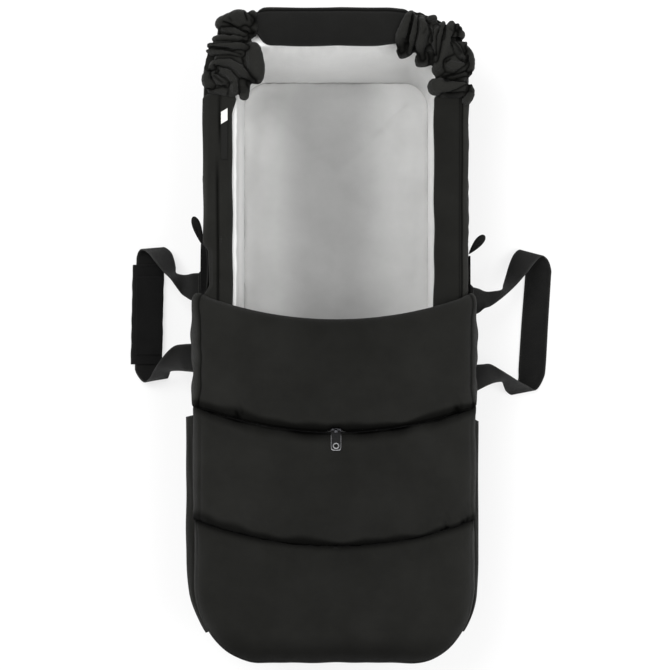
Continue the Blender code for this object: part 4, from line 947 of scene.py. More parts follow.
def relax(piece, rounds, factor):
    """Smooth by moving each point towards the mean of its neighbours, a few rounds."""
    points = vertices(piece)
    edges = np.empty(len(piece.data.edges) * 2, np.int32)
    piece.data.edges.foreach_get("vertices", edges)
    a, b = edges.reshape(-1, 2).T
    count = np.bincount(np.concatenate((a, b)), minlength=len(points))[:, None]
    for _ in range(rounds):
        total = np.zeros_like(points)
        for k in range(3):
            total[:, k] = np.bincount(a, points[b, k], len(points)) + np.bincount(b, points[a, k], len(points))
        points += factor * (total / count - points)
    move_to(piece, points)


# %% Sinking the skin where pleats meet


def distance_to_line(points, line):
    """The distance, seen from above, from each point to a line of a few knots."""
    knots = np.reshape(line, (-1, 2)) / 1000
    start, step = knots[:-1], np.diff(knots, axis=0)
    offset = points[:, None, :2] - start[None]
    along = np.clip((offset * step).sum(-1) / (step**2).sum(-1), 0, 1)
    return np.linalg.norm(offset - along[..., None] * step, axis=-1).min(axis=1)


def pleat_distance(points, half_width, height, *line):
    """How far points are from a pleat's fold line, in pleat sizes: 1 on its own surface, more outside it."""
    sideways = distance_to_line(points, line) / (half_width / 1000)
    upwards = (points[:, 2] - pleat_floor) / (height / 2000) - 1
    return (sideways**2 + upwards**2) ** 0.5


def gathered_corner(side, pleats, creases, core, seed):
    """Fuse the pleats over a low core. A point is deep in a fold where its two nearest pleats are equally near:
    fold = exp(-(difference of their distances / 0.24) ** 1.3). The skin sinks there, and along the fine creases."""
    rolls = [bolster(*pleat) for pleat in pleats]
    path = curve_through(np.array([(a, b, core_height) for a, b in core]) / 1000, 40)
    rolls.append(roll_points(path, 0.0200, 0.0120, 2.3, 28)[0])
    made = fuse(f"gather_{side}", rolls, black_jersey)
    relax(made, 2, 0.4)
    points = vertices(made)
    sizes = np.sort(np.stack([pleat_distance(points, *pleat) for pleat in pleats], -1), axis=1)
    apart = sizes[:, 1] - sizes[:, 0]
    groove = np.exp(-((np.maximum(apart, 0) / 0.24) ** 1.3))
    upper = smooth_step(0.156, 0.166, points[:, 2])
    crease, crease_depth = np.zeros((2, len(points)))
    for depth, *line in creases:
        near = dip(distance_to_line(points, line), 0.0014)
        crease = np.maximum(crease, near * min(depth / 2, 1))
        crease_depth = np.maximum(crease_depth, near * depth / 1000)
    slack = 0.0003 * wander(points[:, 0] + points[:, 2], points[:, 1], seed, 0.009)
    points += vertices(made, "normal") * (upper * (slack - 0.0016 * groove - 1.15 * crease_depth))[:, None]
    points[:, 2] = np.maximum(points[:, 2], 0.1504)
    move_to(made, points)
    relax(made, 1, 0.3)
    # Painted shade in the grooves and fine creases and on the low skin near the wall, and a painted highlight on the
    # crests of the pleats.
    ridge = np.clip(1 - apart / 0.9, 0, 1)
    crest_highlight = 0.22 * upper * (1 - ridge) * (1 - crease)
    keep_painted_shading(made.data, upper * np.maximum(groove, crease) - crest_highlight + 0.5 * (1 - upper))
    points = vertices(made)
    keep_map(made.data, points[:, :2] + points[:, 2:] / 2)
    made.data.shade_smooth()
    inflate(made, lambda p: 0.6 * smooth_step(0.152, 0.158, p[:, 2:]), cap=0.002, cell=0.004)
    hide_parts(f"scrunch_{side}", f"scrunch_{side}_elastic")
    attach(made, "tub")
    print(made.name, len(made.data.polygons), "faces")


# %% Both gathered corners
gathered_corner("left", left_pleats, left_creases, left_core, 61)
gathered_corner("right", right_pleats, right_creases, right_core, 65)

# %% [markdown]
# ## The foot apron
# The apron is three padded panels: a rounded one over the feet, a straight one, and a flap that folds back.
# Each panel is wadding between jersey and lining, so it stands up like a pillow between its seams, and
# drops over the side of the tub as a skirt. The seams lie on a shallow curve.

# %% Shared sizes of the apron
apron_half, apron_foot, foot_radius = 0.1652, -0.3905, 0.0760
shoulder, seam_curve = 0.0200, 0.455
foot_seam, cross_seam, flap_top = -0.2486, -0.1140, 0.0170
valley_z, peak_z = 0.1750, 0.1864
low_edge_z = peak_z - 0.003
cover_thickness = 0.0016
print("the apron stands", round(1000 * (peak_z - valley_z), 1), "mm above its seams")


def sag(x):
    """A seam's place towards the head at x: how far a circle of 455 mm radius has dropped there."""
    return seam_curve - np.sqrt(seam_curve**2 - np.clip(x, -apron_half, apron_half) ** 2)


def fuller_left(x):
    """The wadding has crept to the left side: points there stand out by up to 4 mm, as the square of their place."""
    return -0.0040 * (np.minimum(x, 0) / apron_half) ** 2


# %% The apron's profile from side to side


def apron_profile(top_count, arc_count, skirt_count, hem_z, flare):
    """Columns across a panel: place outwards x, drop from the top, outward normal, and share of the skirt.
    The shoulder is a quarter circle, and below it the skirt leans out by flare times its share ** 1.5."""
    flat = np.linspace(-1, 1, top_count) * (apron_half - shoulder)
    angle = np.linspace(0, np.pi / 2, arc_count + 1)[1:]
    share = np.linspace(0, 1, skirt_count + 1)[1:]
    x = np.concatenate((apron_half - shoulder + shoulder * np.sin(angle), apron_half + 0 * share))
    down = np.concatenate((shoulder * (1 - np.cos(angle)), shoulder + (peak_z - shoulder - hem_z) * share))
    out = np.concatenate((np.sin(angle), np.ones(skirt_count)))
    up = np.concatenate((np.cos(angle), np.zeros(skirt_count)))
    skirt = np.concatenate((np.zeros(arc_count), share))
    still = np.zeros(top_count)
    # mirror: the side's columns backwards and times sign, the middle, and the side's columns again.
    mirror = lambda side, middle, sign: np.concatenate((sign * side[::-1], middle, side))
    across = mirror(x, flat, -1) + mirror(flare * skirt**1.5, still, -1)
    down, up, skirt = mirror(down, still, 1), mirror(up, still + 1, 1), mirror(skirt, still, 1)
    return across + fuller_left(across), down, mirror(out, still, -1), up, skirt


# %% How padding sinks, tucks and puckers at a seam
puff_width = 0.0090


def puff(from_seam, seam_z):
    """How far a padded panel lies below its full height near a seam: exp(-(distance / 9 mm) ** 0.75)."""
    return (peak_z - seam_z) * np.exp(-((np.maximum(from_seam, 0) / puff_width) ** 0.75))


def painted_middle_shade(x):
    """Painted shade: the middle of the apron is painted a deeper black than its sides."""
    return 0.15 * dip(x, 0.10)


def tucks_at(places, x, from_seam):
    """Three short hard tucks at each place along a seam, 3.5 mm apart, that fade within 9 mm."""
    total = 0
    for place in places:
        for shift, depth in ((-0.0035, 0.0016), (0, 0.0024), (0.0038, 0.0018)):
            total = total + depth * dip(x - place - shift - 0.25 * from_seam, 0.0012)
    return total * fading(from_seam, 0.009)


def cloth_noise(x, y, from_seams, seed):
    """Puckers that stand across a seam and fade within 10 to 30 mm, over long soft hollows."""
    short = 0.0010 * fading(from_seams, 0.009) * wander(x, 0 * x, seed, 0.013)
    drag = 0.0010 * fading(from_seams, 0.030) * wander(x + 0.35 * y, 0.15 * y, seed + 1, 0.034)
    return short + drag + 0.0008 * wander(x, y, seed + 2, 0.10) + 0.00035 * wander(x, y, seed + 3, 0.030)


# %% A straight padded panel
side_seam_x = apron_half - 0.0042
# Added to the distance from an edge that is not low, so that nothing puckers there.
out_of_reach = 0.08
# How much painted shade a low edge gets where it rolls under, and on the line of its seam.
foot_deep, foot_line, head_deep, head_line = 0.64, 0.25, 0.42, 0.55


def panel(
    name, body, foot_y, head_y, foot_z, head_z, foot_curl, head_curl, hem_z, flare, seed, tucked,
    notch=0.0, hollow=False, foot_meets=0.0, head_meets=0.0,
):
    """A padded panel between two curved seams: the shared profile is carried along y, sinks at both seams, and
    ends in curls, parts of circles that turn its edges under. notch keeps the foot edge open for the puller, and
    hollow is the dent that the puller presses into the head edge. foot_meets and head_meets move the edges out
    to their neighbours on shoulders and skirts. The panel rolls under at a low edge, so a band is in shade there."""
    x, down, out, up, skirt = apron_profile(112, 12, 12, hem_z, flare)
    length = head_y - foot_y
    bend = np.radians(np.linspace(115, 12, 7))
    share = np.linspace(0, 1, 62)
    share = share - 0.10 * np.sin(2 * np.pi * share)
    head_bend = bend[::-1]
    along = np.concatenate((-foot_curl * np.sin(bend), share * length, length + head_curl * np.sin(head_bend)))
    under = np.concatenate((foot_curl * (1 - np.cos(bend)), 0 * share, head_curl * (1 - np.cos(head_bend))))
    along, under = along[:, None], under[:, None]
    inside = np.clip(along, 0, length)
    from_head = length - inside
    foot_low, head_low = foot_z < low_edge_z, head_z < low_edge_z
    seams = np.minimum(inside + out_of_reach * (not foot_low), from_head + out_of_reach * (not head_low))
    sink = puff(inside, foot_z) + puff(from_head, head_z)
    on_top = skirt == 0
    tucks = tucks_at(tucked, x, inside) * on_top
    lift = cloth_noise(x, foot_y + along, seams, seed) * (1 - skirt * 0.4) - sink - under
    lift = lift - 0.0016 * dip(np.abs(x) - side_seam_x, 0.0013) * on_top - tucks
    if hollow:
        under_puller = 0.1732 + 0.50 * np.maximum(length - along, 0)
        middle = np.exp(-((x / 0.0105) ** 4)) * (length - along < 0.030)
        lift = np.minimum(lift, lift * (1 - middle) + middle * (under_puller - peak_z))
    mostly = np.sin(np.pi * np.clip(inside / length, 0.08, 0.92))
    flutes = 0.0014 * skirt * wander(along, 0 * along, seed + 5, 0.042) * mostly
    px = x + out * ((lift + sink) * 0.5 - sink * 0.12 + flutes)
    py = foot_y + along + sag(x)
    py = py + np.abs(out) ** 0.7 * (head_meets * fading(from_head, 0.012) - foot_meets * fading(inside, 0.012))
    py = py + notch * np.exp(-((x / 0.0085) ** 4)) * fading(np.maximum(along, 0), 0.006)
    # How dark, all painted shade: the rolled edges, the lines of the seams and the tucks, the middle of a high head
    # edge, and less of it all down the skirt.
    ripple = np.clip(0.8 + 0.3 * wander(x, 0 * x, seed + 7, 0.045), 0.3, 1.2)
    band = 0.0080 * ripple * np.interp(x, (-apron_half, 0, apron_half), (1.35, 1, 0.7))
    fold = painted_middle_shade(x)
    if foot_low:
        fold = fold + foot_deep * (1 - smooth_step(0.5, 1.4, inside / band)) + foot_line * fading(inside, 0.0020)
    if head_low:
        rolled = head_deep * (1 - smooth_step(0.3, 1.3, from_head / 0.0085))
        fold = fold + ripple * (rolled + head_line * fading(from_head, 0.0022))
    else:
        fold = fold + 0.12 * dip(x, 0.10) * fading(from_head, 0.030)
    side_seam = dip(np.abs(x) - side_seam_x, 0.0016) * on_top * (body == "flap")
    fold = (fold + 250 * tucks + 0.7 * side_seam) * (1 - 0.6 * skirt)
    made = sew(name, surface(px, py, peak_z - down + up * lift), black_jersey, flip=True, fold=fold)
    loose = 0.6 * smooth_step(0.002, 0.022, np.minimum(inside, from_head)) * (1 - smooth_step(0, 0.3, skirt))
    if hollow:
        loose = loose * (1 - 0.95 * dip(x, 0.016) * (from_head < 0.032))
    inflate(made, lambda p: loose.reshape(-1, 1), cap=0.005)
    thicken(made, cover_thickness)
    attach(made, body)
    return made


# %% The mid panel and the flap
mid_panel = panel(
    "apron_mid_panel", "lower_apron", foot_y=foot_seam + 0.0006, head_y=cross_seam - 0.0046, foot_z=valley_z,
    head_z=0.1758, foot_curl=0.0008, head_curl=0.0010, hem_z=0.1200, flare=0.0010, seed=71, hollow=True,
    head_meets=0.0040, tucked=(0.128, 0.150),
)
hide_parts("apron_mid_cover", "apron_mid_fill")
flap_panel = panel(
    "flap_panel", "flap", foot_y=cross_seam + 0.0026, head_y=flap_top - 0.0090, foot_z=0.1806,
    head_z=peak_z - 0.001, foot_curl=0.0014, head_curl=0.0092, hem_z=0.1340, flare=0.0030, seed=81,
    notch=0.0040, foot_meets=0.0026, tucked=(-0.1165, 0.1420),
)
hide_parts("flap_cover", "flap_fill")
print("panels", len(mid_panel.data.polygons), len(flap_panel.data.polygons), "faces")

# %% A U-shaped edge
foot_hem_z = 0.120
groove_angle = 1.10


def u_edge(half, foot, radius, head, side, corner, end):
    """A U: down the left side, round both foot corners and up the right side, with its outward directions."""
    turn = np.radians(np.linspace(180, 270, corner, endpoint=False))
    turn_right = turn + np.pi / 2
    down = np.linspace(head, foot + radius, side, endpoint=False)
    up = np.append(np.linspace(foot + radius, head, side, endpoint=False), head)
    flat = np.linspace(-(half - radius), half - radius, end, endpoint=False)
    runs = (
        (down, -half, down, -1, 0),
        (
            turn, radius - half + radius * np.cos(turn), foot + radius + radius * np.sin(turn),
            np.cos(turn), np.sin(turn),
        ),
        (flat, flat, foot, 0, -1),
        (
            turn, half - radius + radius * np.cos(turn_right), foot + radius + radius * np.sin(turn_right),
            np.cos(turn_right), np.sin(turn_right),
        ),
        (up, half, up, 1, 0),
    )
    return [np.concatenate([np.broadcast_to(run[k], len(run[0])) for run in runs]) for k in (1, 2, 3, 4)]


# %% Foot panel: rays from the middle of its seam to a U-shaped edge
inner_u = (apron_half - shoulder, apron_foot + shoulder, foot_radius - shoulder, foot_seam)
edge_x, edge_y, nx, ny = u_edge(*inner_u, side=34, corner=26, end=40)
ray = np.linspace(0, 1, 50)[:, None] ** 0.9
angle = np.linspace(0, np.pi / 2, 13)[1:, None]
share = np.linspace(0, 1, 13)[1:, None]
# Rows of three kinds under each other: rays over the top, the quarter circle of the shoulder, the skirt.
rows = lambda on_rays, on_arc, on_skirt: np.vstack((0 * ray + on_rays, 0 * angle + on_arc, 0 * share + on_skirt))
beyond = rows(0, shoulder * np.sin(angle), shoulder + 0.001 * share)
reach = rows(ray, 1, 1)
flat_x = edge_x * reach + nx * beyond
flat_y = foot_seam + (edge_y - foot_seam) * reach + ny * beyond
down = rows(0.0014 * (ray == 0), shoulder * (1 - np.cos(angle)), shoulder + (peak_z - shoulder - foot_hem_z) * share)
out, up, skirt = rows(0, np.sin(angle), 1), rows(1, np.cos(angle), 0), rows(0, 0, share)
from_groove = rows(-1, angle, 9) - groove_angle
from_seam = foot_seam - flat_y
bow = sag(flat_x) * np.clip((flat_y - apron_foot) / (foot_seam - apron_foot), 0, 1)
sink = puff(from_seam, valley_z)
lift = cloth_noise(flat_x, flat_y, from_seam, 91) * (1 - 0.4 * skirt) - sink - 0.0016 * dip(from_groove, 0.07)
give = out * ((lift + sink) * 0.5 - sink * 0.12)
px, py = flat_x + nx * give, flat_y + bow + ny * give
px = px + fuller_left(px) * smooth_step(-0.385, -0.300, py)
# Painted shade at the seam, in the groove round the shoulder and in the middle; the cloth is also painted darker
# towards the foot end and the left side.
fold = 0.35 * fading(from_seam, 0.0022) + 0.45 * (1 - smooth_step(0.001, 0.0075, from_seam))
fold = fold * (1 - 0.6 * skirt) + painted_middle_shade(flat_x) + 0.5 * dip(from_groove, 0.06)
fold += 0.42 * smooth_step(-0.350, -0.380, flat_y) + 0.13 * smooth_step(-0.05, -0.13, flat_x)
foot_points = surface(px, py, peak_z - down + up * lift)
foot_panel = sew("apron_foot_panel", foot_points, black_jersey, weld=1e-6, fold=fold)


def foot_free(p):
    """How free the foot panel is to swell: not at its seam, and not down its skirt."""
    return 0.6 * smooth_step(0.002, 0.022, foot_seam + sag(p[:, :1]) - p[:, 1:2]) * smooth_step(0.150, 0.172, p[:, 2:])


inflate(foot_panel, foot_free, cap=0.005)
thicken(foot_panel, cover_thickness)
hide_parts("apron_foot_cover", "apron_foot_fill")
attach(foot_panel, "lower_apron")
print("foot panel", len(foot_panel.data.polygons), "faces")

# %% Linings of the apron, painted a shade darker than the tub's, and black along the zip
apron_lining_z, lining_half = 0.1669, 0.1562
lining_head, lining_foot = -0.1192, -0.3818
flap_lining_foot, flap_lining_head = -0.1012, 0.0136
lining_thickness = 0.0010


def lining_tone(from_zip):
    """Painted shade of 0.25 away from the zip, and black within 14 mm of it."""
    return 0.25 + 0.72 * smooth_step(0.0165, 0.0125, from_zip)


edge_x, edge_y, _, _ = u_edge(lining_half, lining_foot, 0.0680, lining_head, side=60, corner=20, end=40)
ray = np.linspace(0, 1, 44)[:, None]
x, y = edge_x * ray, lining_head + (edge_y - lining_head) * ray
tone = lining_tone(lining_head - y)
y = y + sag(x) * np.clip((y - lining_foot) / (lining_head - lining_foot), 0, 1)
z = apron_lining_z + 0.0004 * wander(x, y, 95, 0.07)
apron_lining = sew("apron_lining_poplin", surface(x, y, z), grey_lining, weld=1e-6, fold=tone)
thicken(apron_lining, lining_thickness, offset=0)
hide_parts("apron_lining")
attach(apron_lining, "lower_apron")

x, y = np.meshgrid(np.linspace(-lining_half, lining_half, 70), np.linspace(flap_lining_foot, flap_lining_head, 60))
z = apron_lining_z + 0.0004 * wander(x, y, 96, 0.07)
tone = lining_tone(y - flap_lining_foot)
flap_lining = sew("flap_lining_poplin", surface(x, y + sag(x), z), grey_lining, fold=tone)
thicken(flap_lining, lining_thickness, offset=0)
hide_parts("flap_lining")
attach(flap_lining, "flap")
print("linings", len(apron_lining.data.polygons), len(flap_lining.data.polygons), "faces")

# %% [markdown]
# ## Guard strips over the side zips
# A strip of jersey is sewn along each side just above the zip, and stands out over it like a gutter, round
# the foot corner too. It is a curved line of a few millimetres, carried along the apron's side.

# %% Guard strips
guard_root, guard_root_z = 0.0011, 0.1284


def guard_strip(side, sign, head_y, reach, seed):
    """A strip along the side and 34 degrees round the foot corner, that leans out to reach as a quarter sine."""
    corner_y = apron_foot + foot_radius
    straight = np.linspace(head_y, corner_y, 74, endpoint=False)
    turn = np.radians(np.linspace(0, -34, 22))
    turned = np.concatenate((0 * straight, turn))[:, None]
    nx, ny = np.cos(turned), np.sin(turned)
    middle_x = apron_half - foot_radius + foot_radius * nx
    middle_y = np.concatenate((straight, corner_y + 0 * turn))[:, None] + foot_radius * ny
    q = np.linspace(0, 1, 12)
    walk = np.linspace(0, 1, len(turned))[:, None]
    ends = np.clip(walk / 0.004, 0, 1) * (1 - 0.80 * smooth_step(0.62, 0.95, walk))
    wave = 1 + 0.03 * wander(walk, 0 * walk, seed, 0.30)
    away = guard_root + (reach - guard_root) * np.sin(np.pi / 2 * q) * (0.25 + 0.75 * ends) * wave
    z = guard_root_z - 0.0172 * q**1.7 + 0.0005 * wander(walk, q, seed + 1, 0.3)
    points = surface(sign * (middle_x + nx * away), middle_y + ny * away, z)
    made = sew(f"zip_guard_cloth_{side}", points, black_jersey, flip=sign > 0)
    thicken(made, 0.0015)
    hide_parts(f"zip_guard_{side}")
    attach(made, "lower_apron")
    print(made.name, len(made.data.polygons), "faces")


guard_strip("left", -1, -0.0965, 0.0172, 101)
guard_strip("right", 1, -0.1020, 0.0080, 103)

# %% [markdown]
# ## Handles, straps and tabs
# Each handle is one strip of polypropylene webbing. It leaves the wall flat, twists on to its edge and curls
# over before it comes back as the grip. A strip that is carried along a route, with its own width
# direction at every step, can do all of that.

# %% A flat strip between two edge lines
webbing_thickness, webbing_half = 0.0018, 0.0175
round_edge = 0.0006
# How bright the painted highlight along each edge of the webbing is.
edge_highlight = 0.9


def closed_ends(points):
    """A tube's rows with its first and last ring drawn together to their middles."""
    middle = lambda ring: np.broadcast_to(ring.mean(axis=0), ring.shape)[None]
    return np.concatenate((middle(points[0]), points, middle(points[-1])))


def ribbon(name, edges, thickness, finish, sign, shade=0.0):
    """A strip with slightly round edges between two lines. Columns 0 to 2 of edges are one line, 3 to 5 the other:
    a point is the middle, plus a share of the way across, plus a share of the thickness along the strip's normal.
    shade is painted shade on its faces, and both edges get a painted highlight."""
    centre, across = (edges[:, :3] + edges[:, 3:]) / 2, (edges[:, 3:] - edges[:, :3]) / 2
    normal = np.cross(np.gradient(centre, axis=0), across)
    normal /= np.linalg.norm(normal, axis=1)[:, None]
    t = thickness / 2
    half = np.linspace(-1, 1, 13)
    top = np.stack((half, 0 * half + t), -1)
    right = np.array([(1, 0.4 * t), (1, -0.4 * t)])
    ring = np.concatenate((top, right, top[::-1] * (1, -1), right[::-1] * (-1, 1), top[:1]))
    flat = np.abs(ring[:, 1]) > 0.9 * t
    inner = 1 - round_edge / np.linalg.norm(across, axis=1)[:, None, None]
    reach = np.where(flat[:, None], ring[:, :1] * inner, ring[:, :1])
    points = centre[:, None] + across[:, None] * reach + normal[:, None] * ring[:, 1:]
    # Painted shade on the faces, as much as shade, and a painted highlight along both edges.
    painted_light_and_shade = np.where(flat, shade - edge_highlight * (np.abs(ring[:, 0]) > 0.99), -edge_highlight)
    return sew(name, closed_ends(points) * (sign, 1, 1), finish, weld=1e-6, fold=painted_light_and_shade)


def route(rows, count):
    """Both edge lines of a strip, in metres, on smooth curves through rows of six numbers in mm."""
    return curve_through(np.array(rows) / 1000, count)


# %% Where the handles run
# Both edges of each handle, in mm as outwards, y, z of one and of the other, from the head hinge over the grip to
# the foot hinge. The strip stands on its edge as it leaves the wall, turns towards the end, folds over and comes
# back flat as the grip.
left_handle_edges = (
    (165.4, 40.5, 110.5, 165.4, 75.5, 110.5), (175.5, 42, 105, 174, 75.2, 106), (183, 46, 98, 181.5, 74, 95),
    (191, 52, 91, 190, 74.5, 70), (203.2, 69, 82, 199.6, 77, 50), (212.9, 77.9, 70, 201, 84.5, 40),
    (225.1, 91.8, 58, 203.7, 94.4, 30), (235.7, 103.2, 40, 208.6, 104.6, 20), (246.3, 108, 21, 217.4, 110.8, 12),
    (252.6, 102, 7, 219.6, 106.5, 5), (254, 88, 5.6, 220, 90, 5.6), (254.8, 25, 5.6, 220.5, 25, 5.6),
    (255.6, -34, 5.6, 221, -36, 5.6), (254.6, -47, 7, 220, -50, 5), (244.5, -59, 17, 213.8, -54.5, 10),
    (234.8, -55.5, 35, 210.5, -49.4, 19), (227, -44.7, 55, 208.3, -45.6, 30), (219.8, -35, 72, 203.2, -44.4, 45),
    (207.2, -20.6, 90, 193.2, -44.2, 70), (197.1, -13.1, 98, 185.3, -44.4, 90), (186, -11.2, 104.5, 178, -44.9, 100),
    (174.5, -10.6, 108.5, 173.5, -45.3, 105.5), (165.4, -10.5, 110.5, 165.4, -45.5, 110.5),
)
right_handle_edges = (
    (165.4, 23.5, 110.5, 165.4, 58.5, 110.5), (174, 27, 107.5, 174.5, 56.5, 100), (181.3, 32.5, 104, 184.5, 53.5, 80),
    (190.1, 35.7, 94, 196, 54.2, 65), (203.6, 45.4, 80, 207.1, 56.3, 50), (217.1, 56.6, 70, 209.9, 62.9, 40),
    (227.8, 66.4, 58, 213.5, 73.6, 32), (240.2, 79.6, 45, 219, 89.9, 24), (250.8, 91.4, 28, 225.4, 102.3, 16),
    (261.3, 100, 12, 233.4, 107.9, 8), (270, 95.5, 4, 239.8, 98.8, 3), (274.2, 83, 2.4, 241, 86, 2.4),
    (273.8, 71.2, 2.2, 240.6, 71.2, 2.2), (270.5, 17.6, 2.2, 236.4, 17.6, 2.2),
    (267.3, -39.2, 2.2, 232.7, -39.2, 2.2), (264.3, -55.5, 2.8, 231.8, -57.5, 2.4),
    (254.5, -69.2, 9, 224.5, -74.9, 5.5), (240.1, -63.7, 30, 215.9, -71.4, 14), (227.7, -57.6, 50, 211.4, -64.5, 28),
    (216, -50.8, 66, 207.8, -58.6, 42), (205.2, -44.2, 80, 200.5, -58.4, 60), (189.7, -35.8, 96, 190.6, -60.3, 84),
    (179.5, -35.6, 105, 179.5, -64.5, 98), (165.4, -36.5, 110.5, 165.4, -71.5, 110.5),
)

print("handles drawn through", len(left_handle_edges), "and", len(right_handle_edges), "places")

# %% The two handles
for side, sign, edges in (("left", -1, left_handle_edges), ("right", 1, right_handle_edges)):
    handle = ribbon(f"handle_webbing_{side}", route(edges, 260), webbing_thickness, black_webbing, sign)
    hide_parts(f"handle_{side}")
    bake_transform(handle)
    print(handle.name, len(handle.data.polygons), "faces")

# %% Strap ends on the wall, sewn in a box with a cross
pivot_z, wall_x = 0.1105, 0.1608
stitch_box = np.array([(-1, -1), (1, -1), (1, 1), (-1, 1), (-1, -1), (1, 1), (1, -1), (-1, 1)]) * 0.0130
# For each strap end: where it is hinged to its handle, and where it ends.
strap_facts = {
    ("left", "head"): (0.058, 0.107), ("left", "foot"): (-0.028, -0.089),
    ("right", "head"): (0.041, 0.0955), ("right", "foot"): (-0.054, -0.089),
}
for (side, end), (hinge, far) in strap_facts.items():
    sign = -1 if side == "left" else 1
    way = 1 if end == "head" else -1
    # Along the strap: how far past the hinge, and how thick the layers are there, in mm.
    past = (-0.0172, -0.010, 0, 0.010, 0.0170, 0.0205, way * (far - hinge))
    layers = (5.2, 5.4, 5.4, 5.4, 5.2, 1.9, 1.8)
    step = np.linspace(0, 6, 60)
    y = hinge + way * np.interp(step, np.arange(7), past)
    depth = np.interp(step, np.arange(7), layers) / 1000
    q = np.linspace(-1, 1, 15)
    face_x = wall_x + depth[:, None] * (1 - 0.12 * q**8)
    ring_x = np.concatenate((face_x, np.full((60, 2), wall_x), face_x[:, :1]), axis=1)
    ring_z = pivot_z + webbing_half * np.append(q, (1, -1, -1))
    name = f"strap_stitches_{side}_{end}"
    stitches(name, surface(sign * (wall_x + 0.0055), *(stitch_box + (hinge, pivot_z)).T))
    points = closed_ends(surface(sign * ring_x, y[:, None], ring_z))
    strap = sew(f"strap_{side}_{end}", points, black_webbing, weld=1e-6)
    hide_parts(f"strap_end_{side}_{end}")
    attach(strap, "tub")

# %% The strap over the left shoulder
# The left head strap goes on over the wall's top edge, where it pulls the rim in.
shoulder_edges = (
    (160.4, 110, 150, 161.6, 111, 138), (154.6, 103, 156.5, 161.8, 104, 146), (152.6, 92, 158.4, 161.9, 93, 148),
    (152.3, 78, 158.6, 162, 79, 149), (152.8, 64, 158.2, 162, 65, 149), (154.5, 54, 155.5, 161.8, 55, 146),
    (160.2, 47, 149, 161.4, 48, 136),
)
# Its faces get painted shade of 0.8, so the strap looks dark.
shoulder_strap = ribbon("strap_left_shoulder", route(shoulder_edges, 60), 0.0015, black_webbing, -1, shade=0.8)
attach(shoulder_strap, "tub")
print("straps", len(strap_facts) + 1)

# %% [markdown]
# ## The padded grip wrap
# The left grip is wrapped in a soft padded sleeve that closes with a touch-and-close leaf. The sleeve is
# a flattened tube round the webbing, open at both ends, with rounded seams.

# %% Grip wrap and leaf
wrap_foot, wrap_head, grip_middle_y = -0.0374, 0.0893, 0.026
grip_x, grip_z = -0.2398, 0.0056
wrap_half_width, wrap_half_height = 0.0200, 0.0049
leaf_root_x, leaf_width, leaf_z = -0.2200, 0.0338, 0.0118

# Rows of the wrap: three that turn in at each end, and 60 between.
turn_in = np.array((0.004, 0.001, 0))
between = np.linspace(wrap_foot + 0.0006, wrap_head - 0.0006, 60)
y = np.concatenate((wrap_foot + turn_in, between, wrap_head - turn_in[::-1]))[:, None]
ends = (0.62, 0.66, 0.84)
fuller = np.concatenate((ends, 1 - 0.05 * np.cos(np.linspace(-np.pi / 2, np.pi / 2, 60)) ** 8, ends[::-1]))[:, None]
turn = np.linspace(0, 2 * np.pi, 49)
wide = signed_power(np.cos(turn), 0.55) * wrap_half_width
thick = signed_power(np.sin(turn), 0.75) * wrap_half_height
x = grip_x + 0.022 * (y - grip_middle_y) + wide * (0.93 + 0.07 * fuller) + 0.0003 * wander(y, turn / 50, 111, 0.03)
wrap = sew("grip_wrap_sleeve", surface(x, y, grip_z + thick * fuller), grip_pile, weld=1e-6)
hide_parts("grip_wrap")
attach(wrap, "left_handle")

x, y = np.meshgrid(leaf_root_x - leaf_width * np.linspace(0, 1, 26), np.linspace(-0.0250, 0.0741, 50))
x = x + 0.012 * (y - grip_middle_y)
leaf = sew("grip_leaf_flap", surface(x, y, leaf_z + 0.0002 * wander(x, y, 113, 0.03)), grip_pile)
thicken(leaf, 0.0016, offset=0)
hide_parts("grip_wrap_leaf")
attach(leaf, "grip_leaf")
print("wrap and leaf", len(wrap.data.polygons), len(leaf.data.polygons), "faces")

# %% [markdown]
# ## Pull tabs and label
# On each side wall sits a short loop of narrow webbing, folded flat, to hold on to while a zip is pulled. It
# could be two strips sewn together, but one wall that is bent round a flat bow has the soft turn at its end.
# The label is a piece of ribbon on the left rim: a grid with a few tenths of a millimetre of thickness.

# %% Pull tabs: a short loop of narrow webbing, folded flat
tab_root_x, tab_middle_z, tab_half_height = 0.1616, 0.1170, 0.0069
tab_facts = {"left": (-1, 0.1090, 72.5, 0.0360), "right": (1, 0.0985, 51.0, 0.0285)}
for side, (sign, root_y, turned_by, length) in tab_facts.items():
    angle, turn = np.linspace(0, 2 * np.pi, 73)[:, None], math.radians(turned_by)
    heights = tab_middle_z + tab_half_height * np.linspace(-1, 1, 9)
    walls = []
    for scale, z in ((1.0, heights), (0.06, heights[::-1])):
        share = 0.5 - 0.5 * np.cos(angle) * scale
        bow = 0.0060 * np.sin(angle) * scale * (0.35 + 0.80 * share)
        x = tab_root_x + share * length * math.cos(turn) + bow * math.sin(turn)
        y = root_y + share * length * math.sin(turn) - bow * math.cos(turn)
        walls.append(surface(x, y, z))
    loop = np.concatenate((*walls, walls[0][:, :1]), axis=1) * (sign, 1, 1)
    tab = sew(f"pull_tab_loop_{side}", loop, black_webbing, weld=1e-6)
    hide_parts(f"pull_tab_{side}")
    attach(tab, "tub")
print("pull tabs", len(tab_facts))

# %% The blank label
label_left, label_right, label_foot, label_head = -0.1364, -0.1286, 0.2080, 0.2645
x, q = np.meshgrid(np.linspace(label_left, label_right, 8), np.linspace(0, 1, 40))
y = label_foot + (label_head + label_slant * (x - label_left) - label_foot) * q
z = 0.1679 + 0.0003 * np.sin((y - 0.206) * 110)
label = sew("blank_label", surface(x, y, z), label_satin)
thicken(label, 0.0005, offset=0)
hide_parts("label")
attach(label, "tub")
print("label", len(label.data.polygons), "faces")

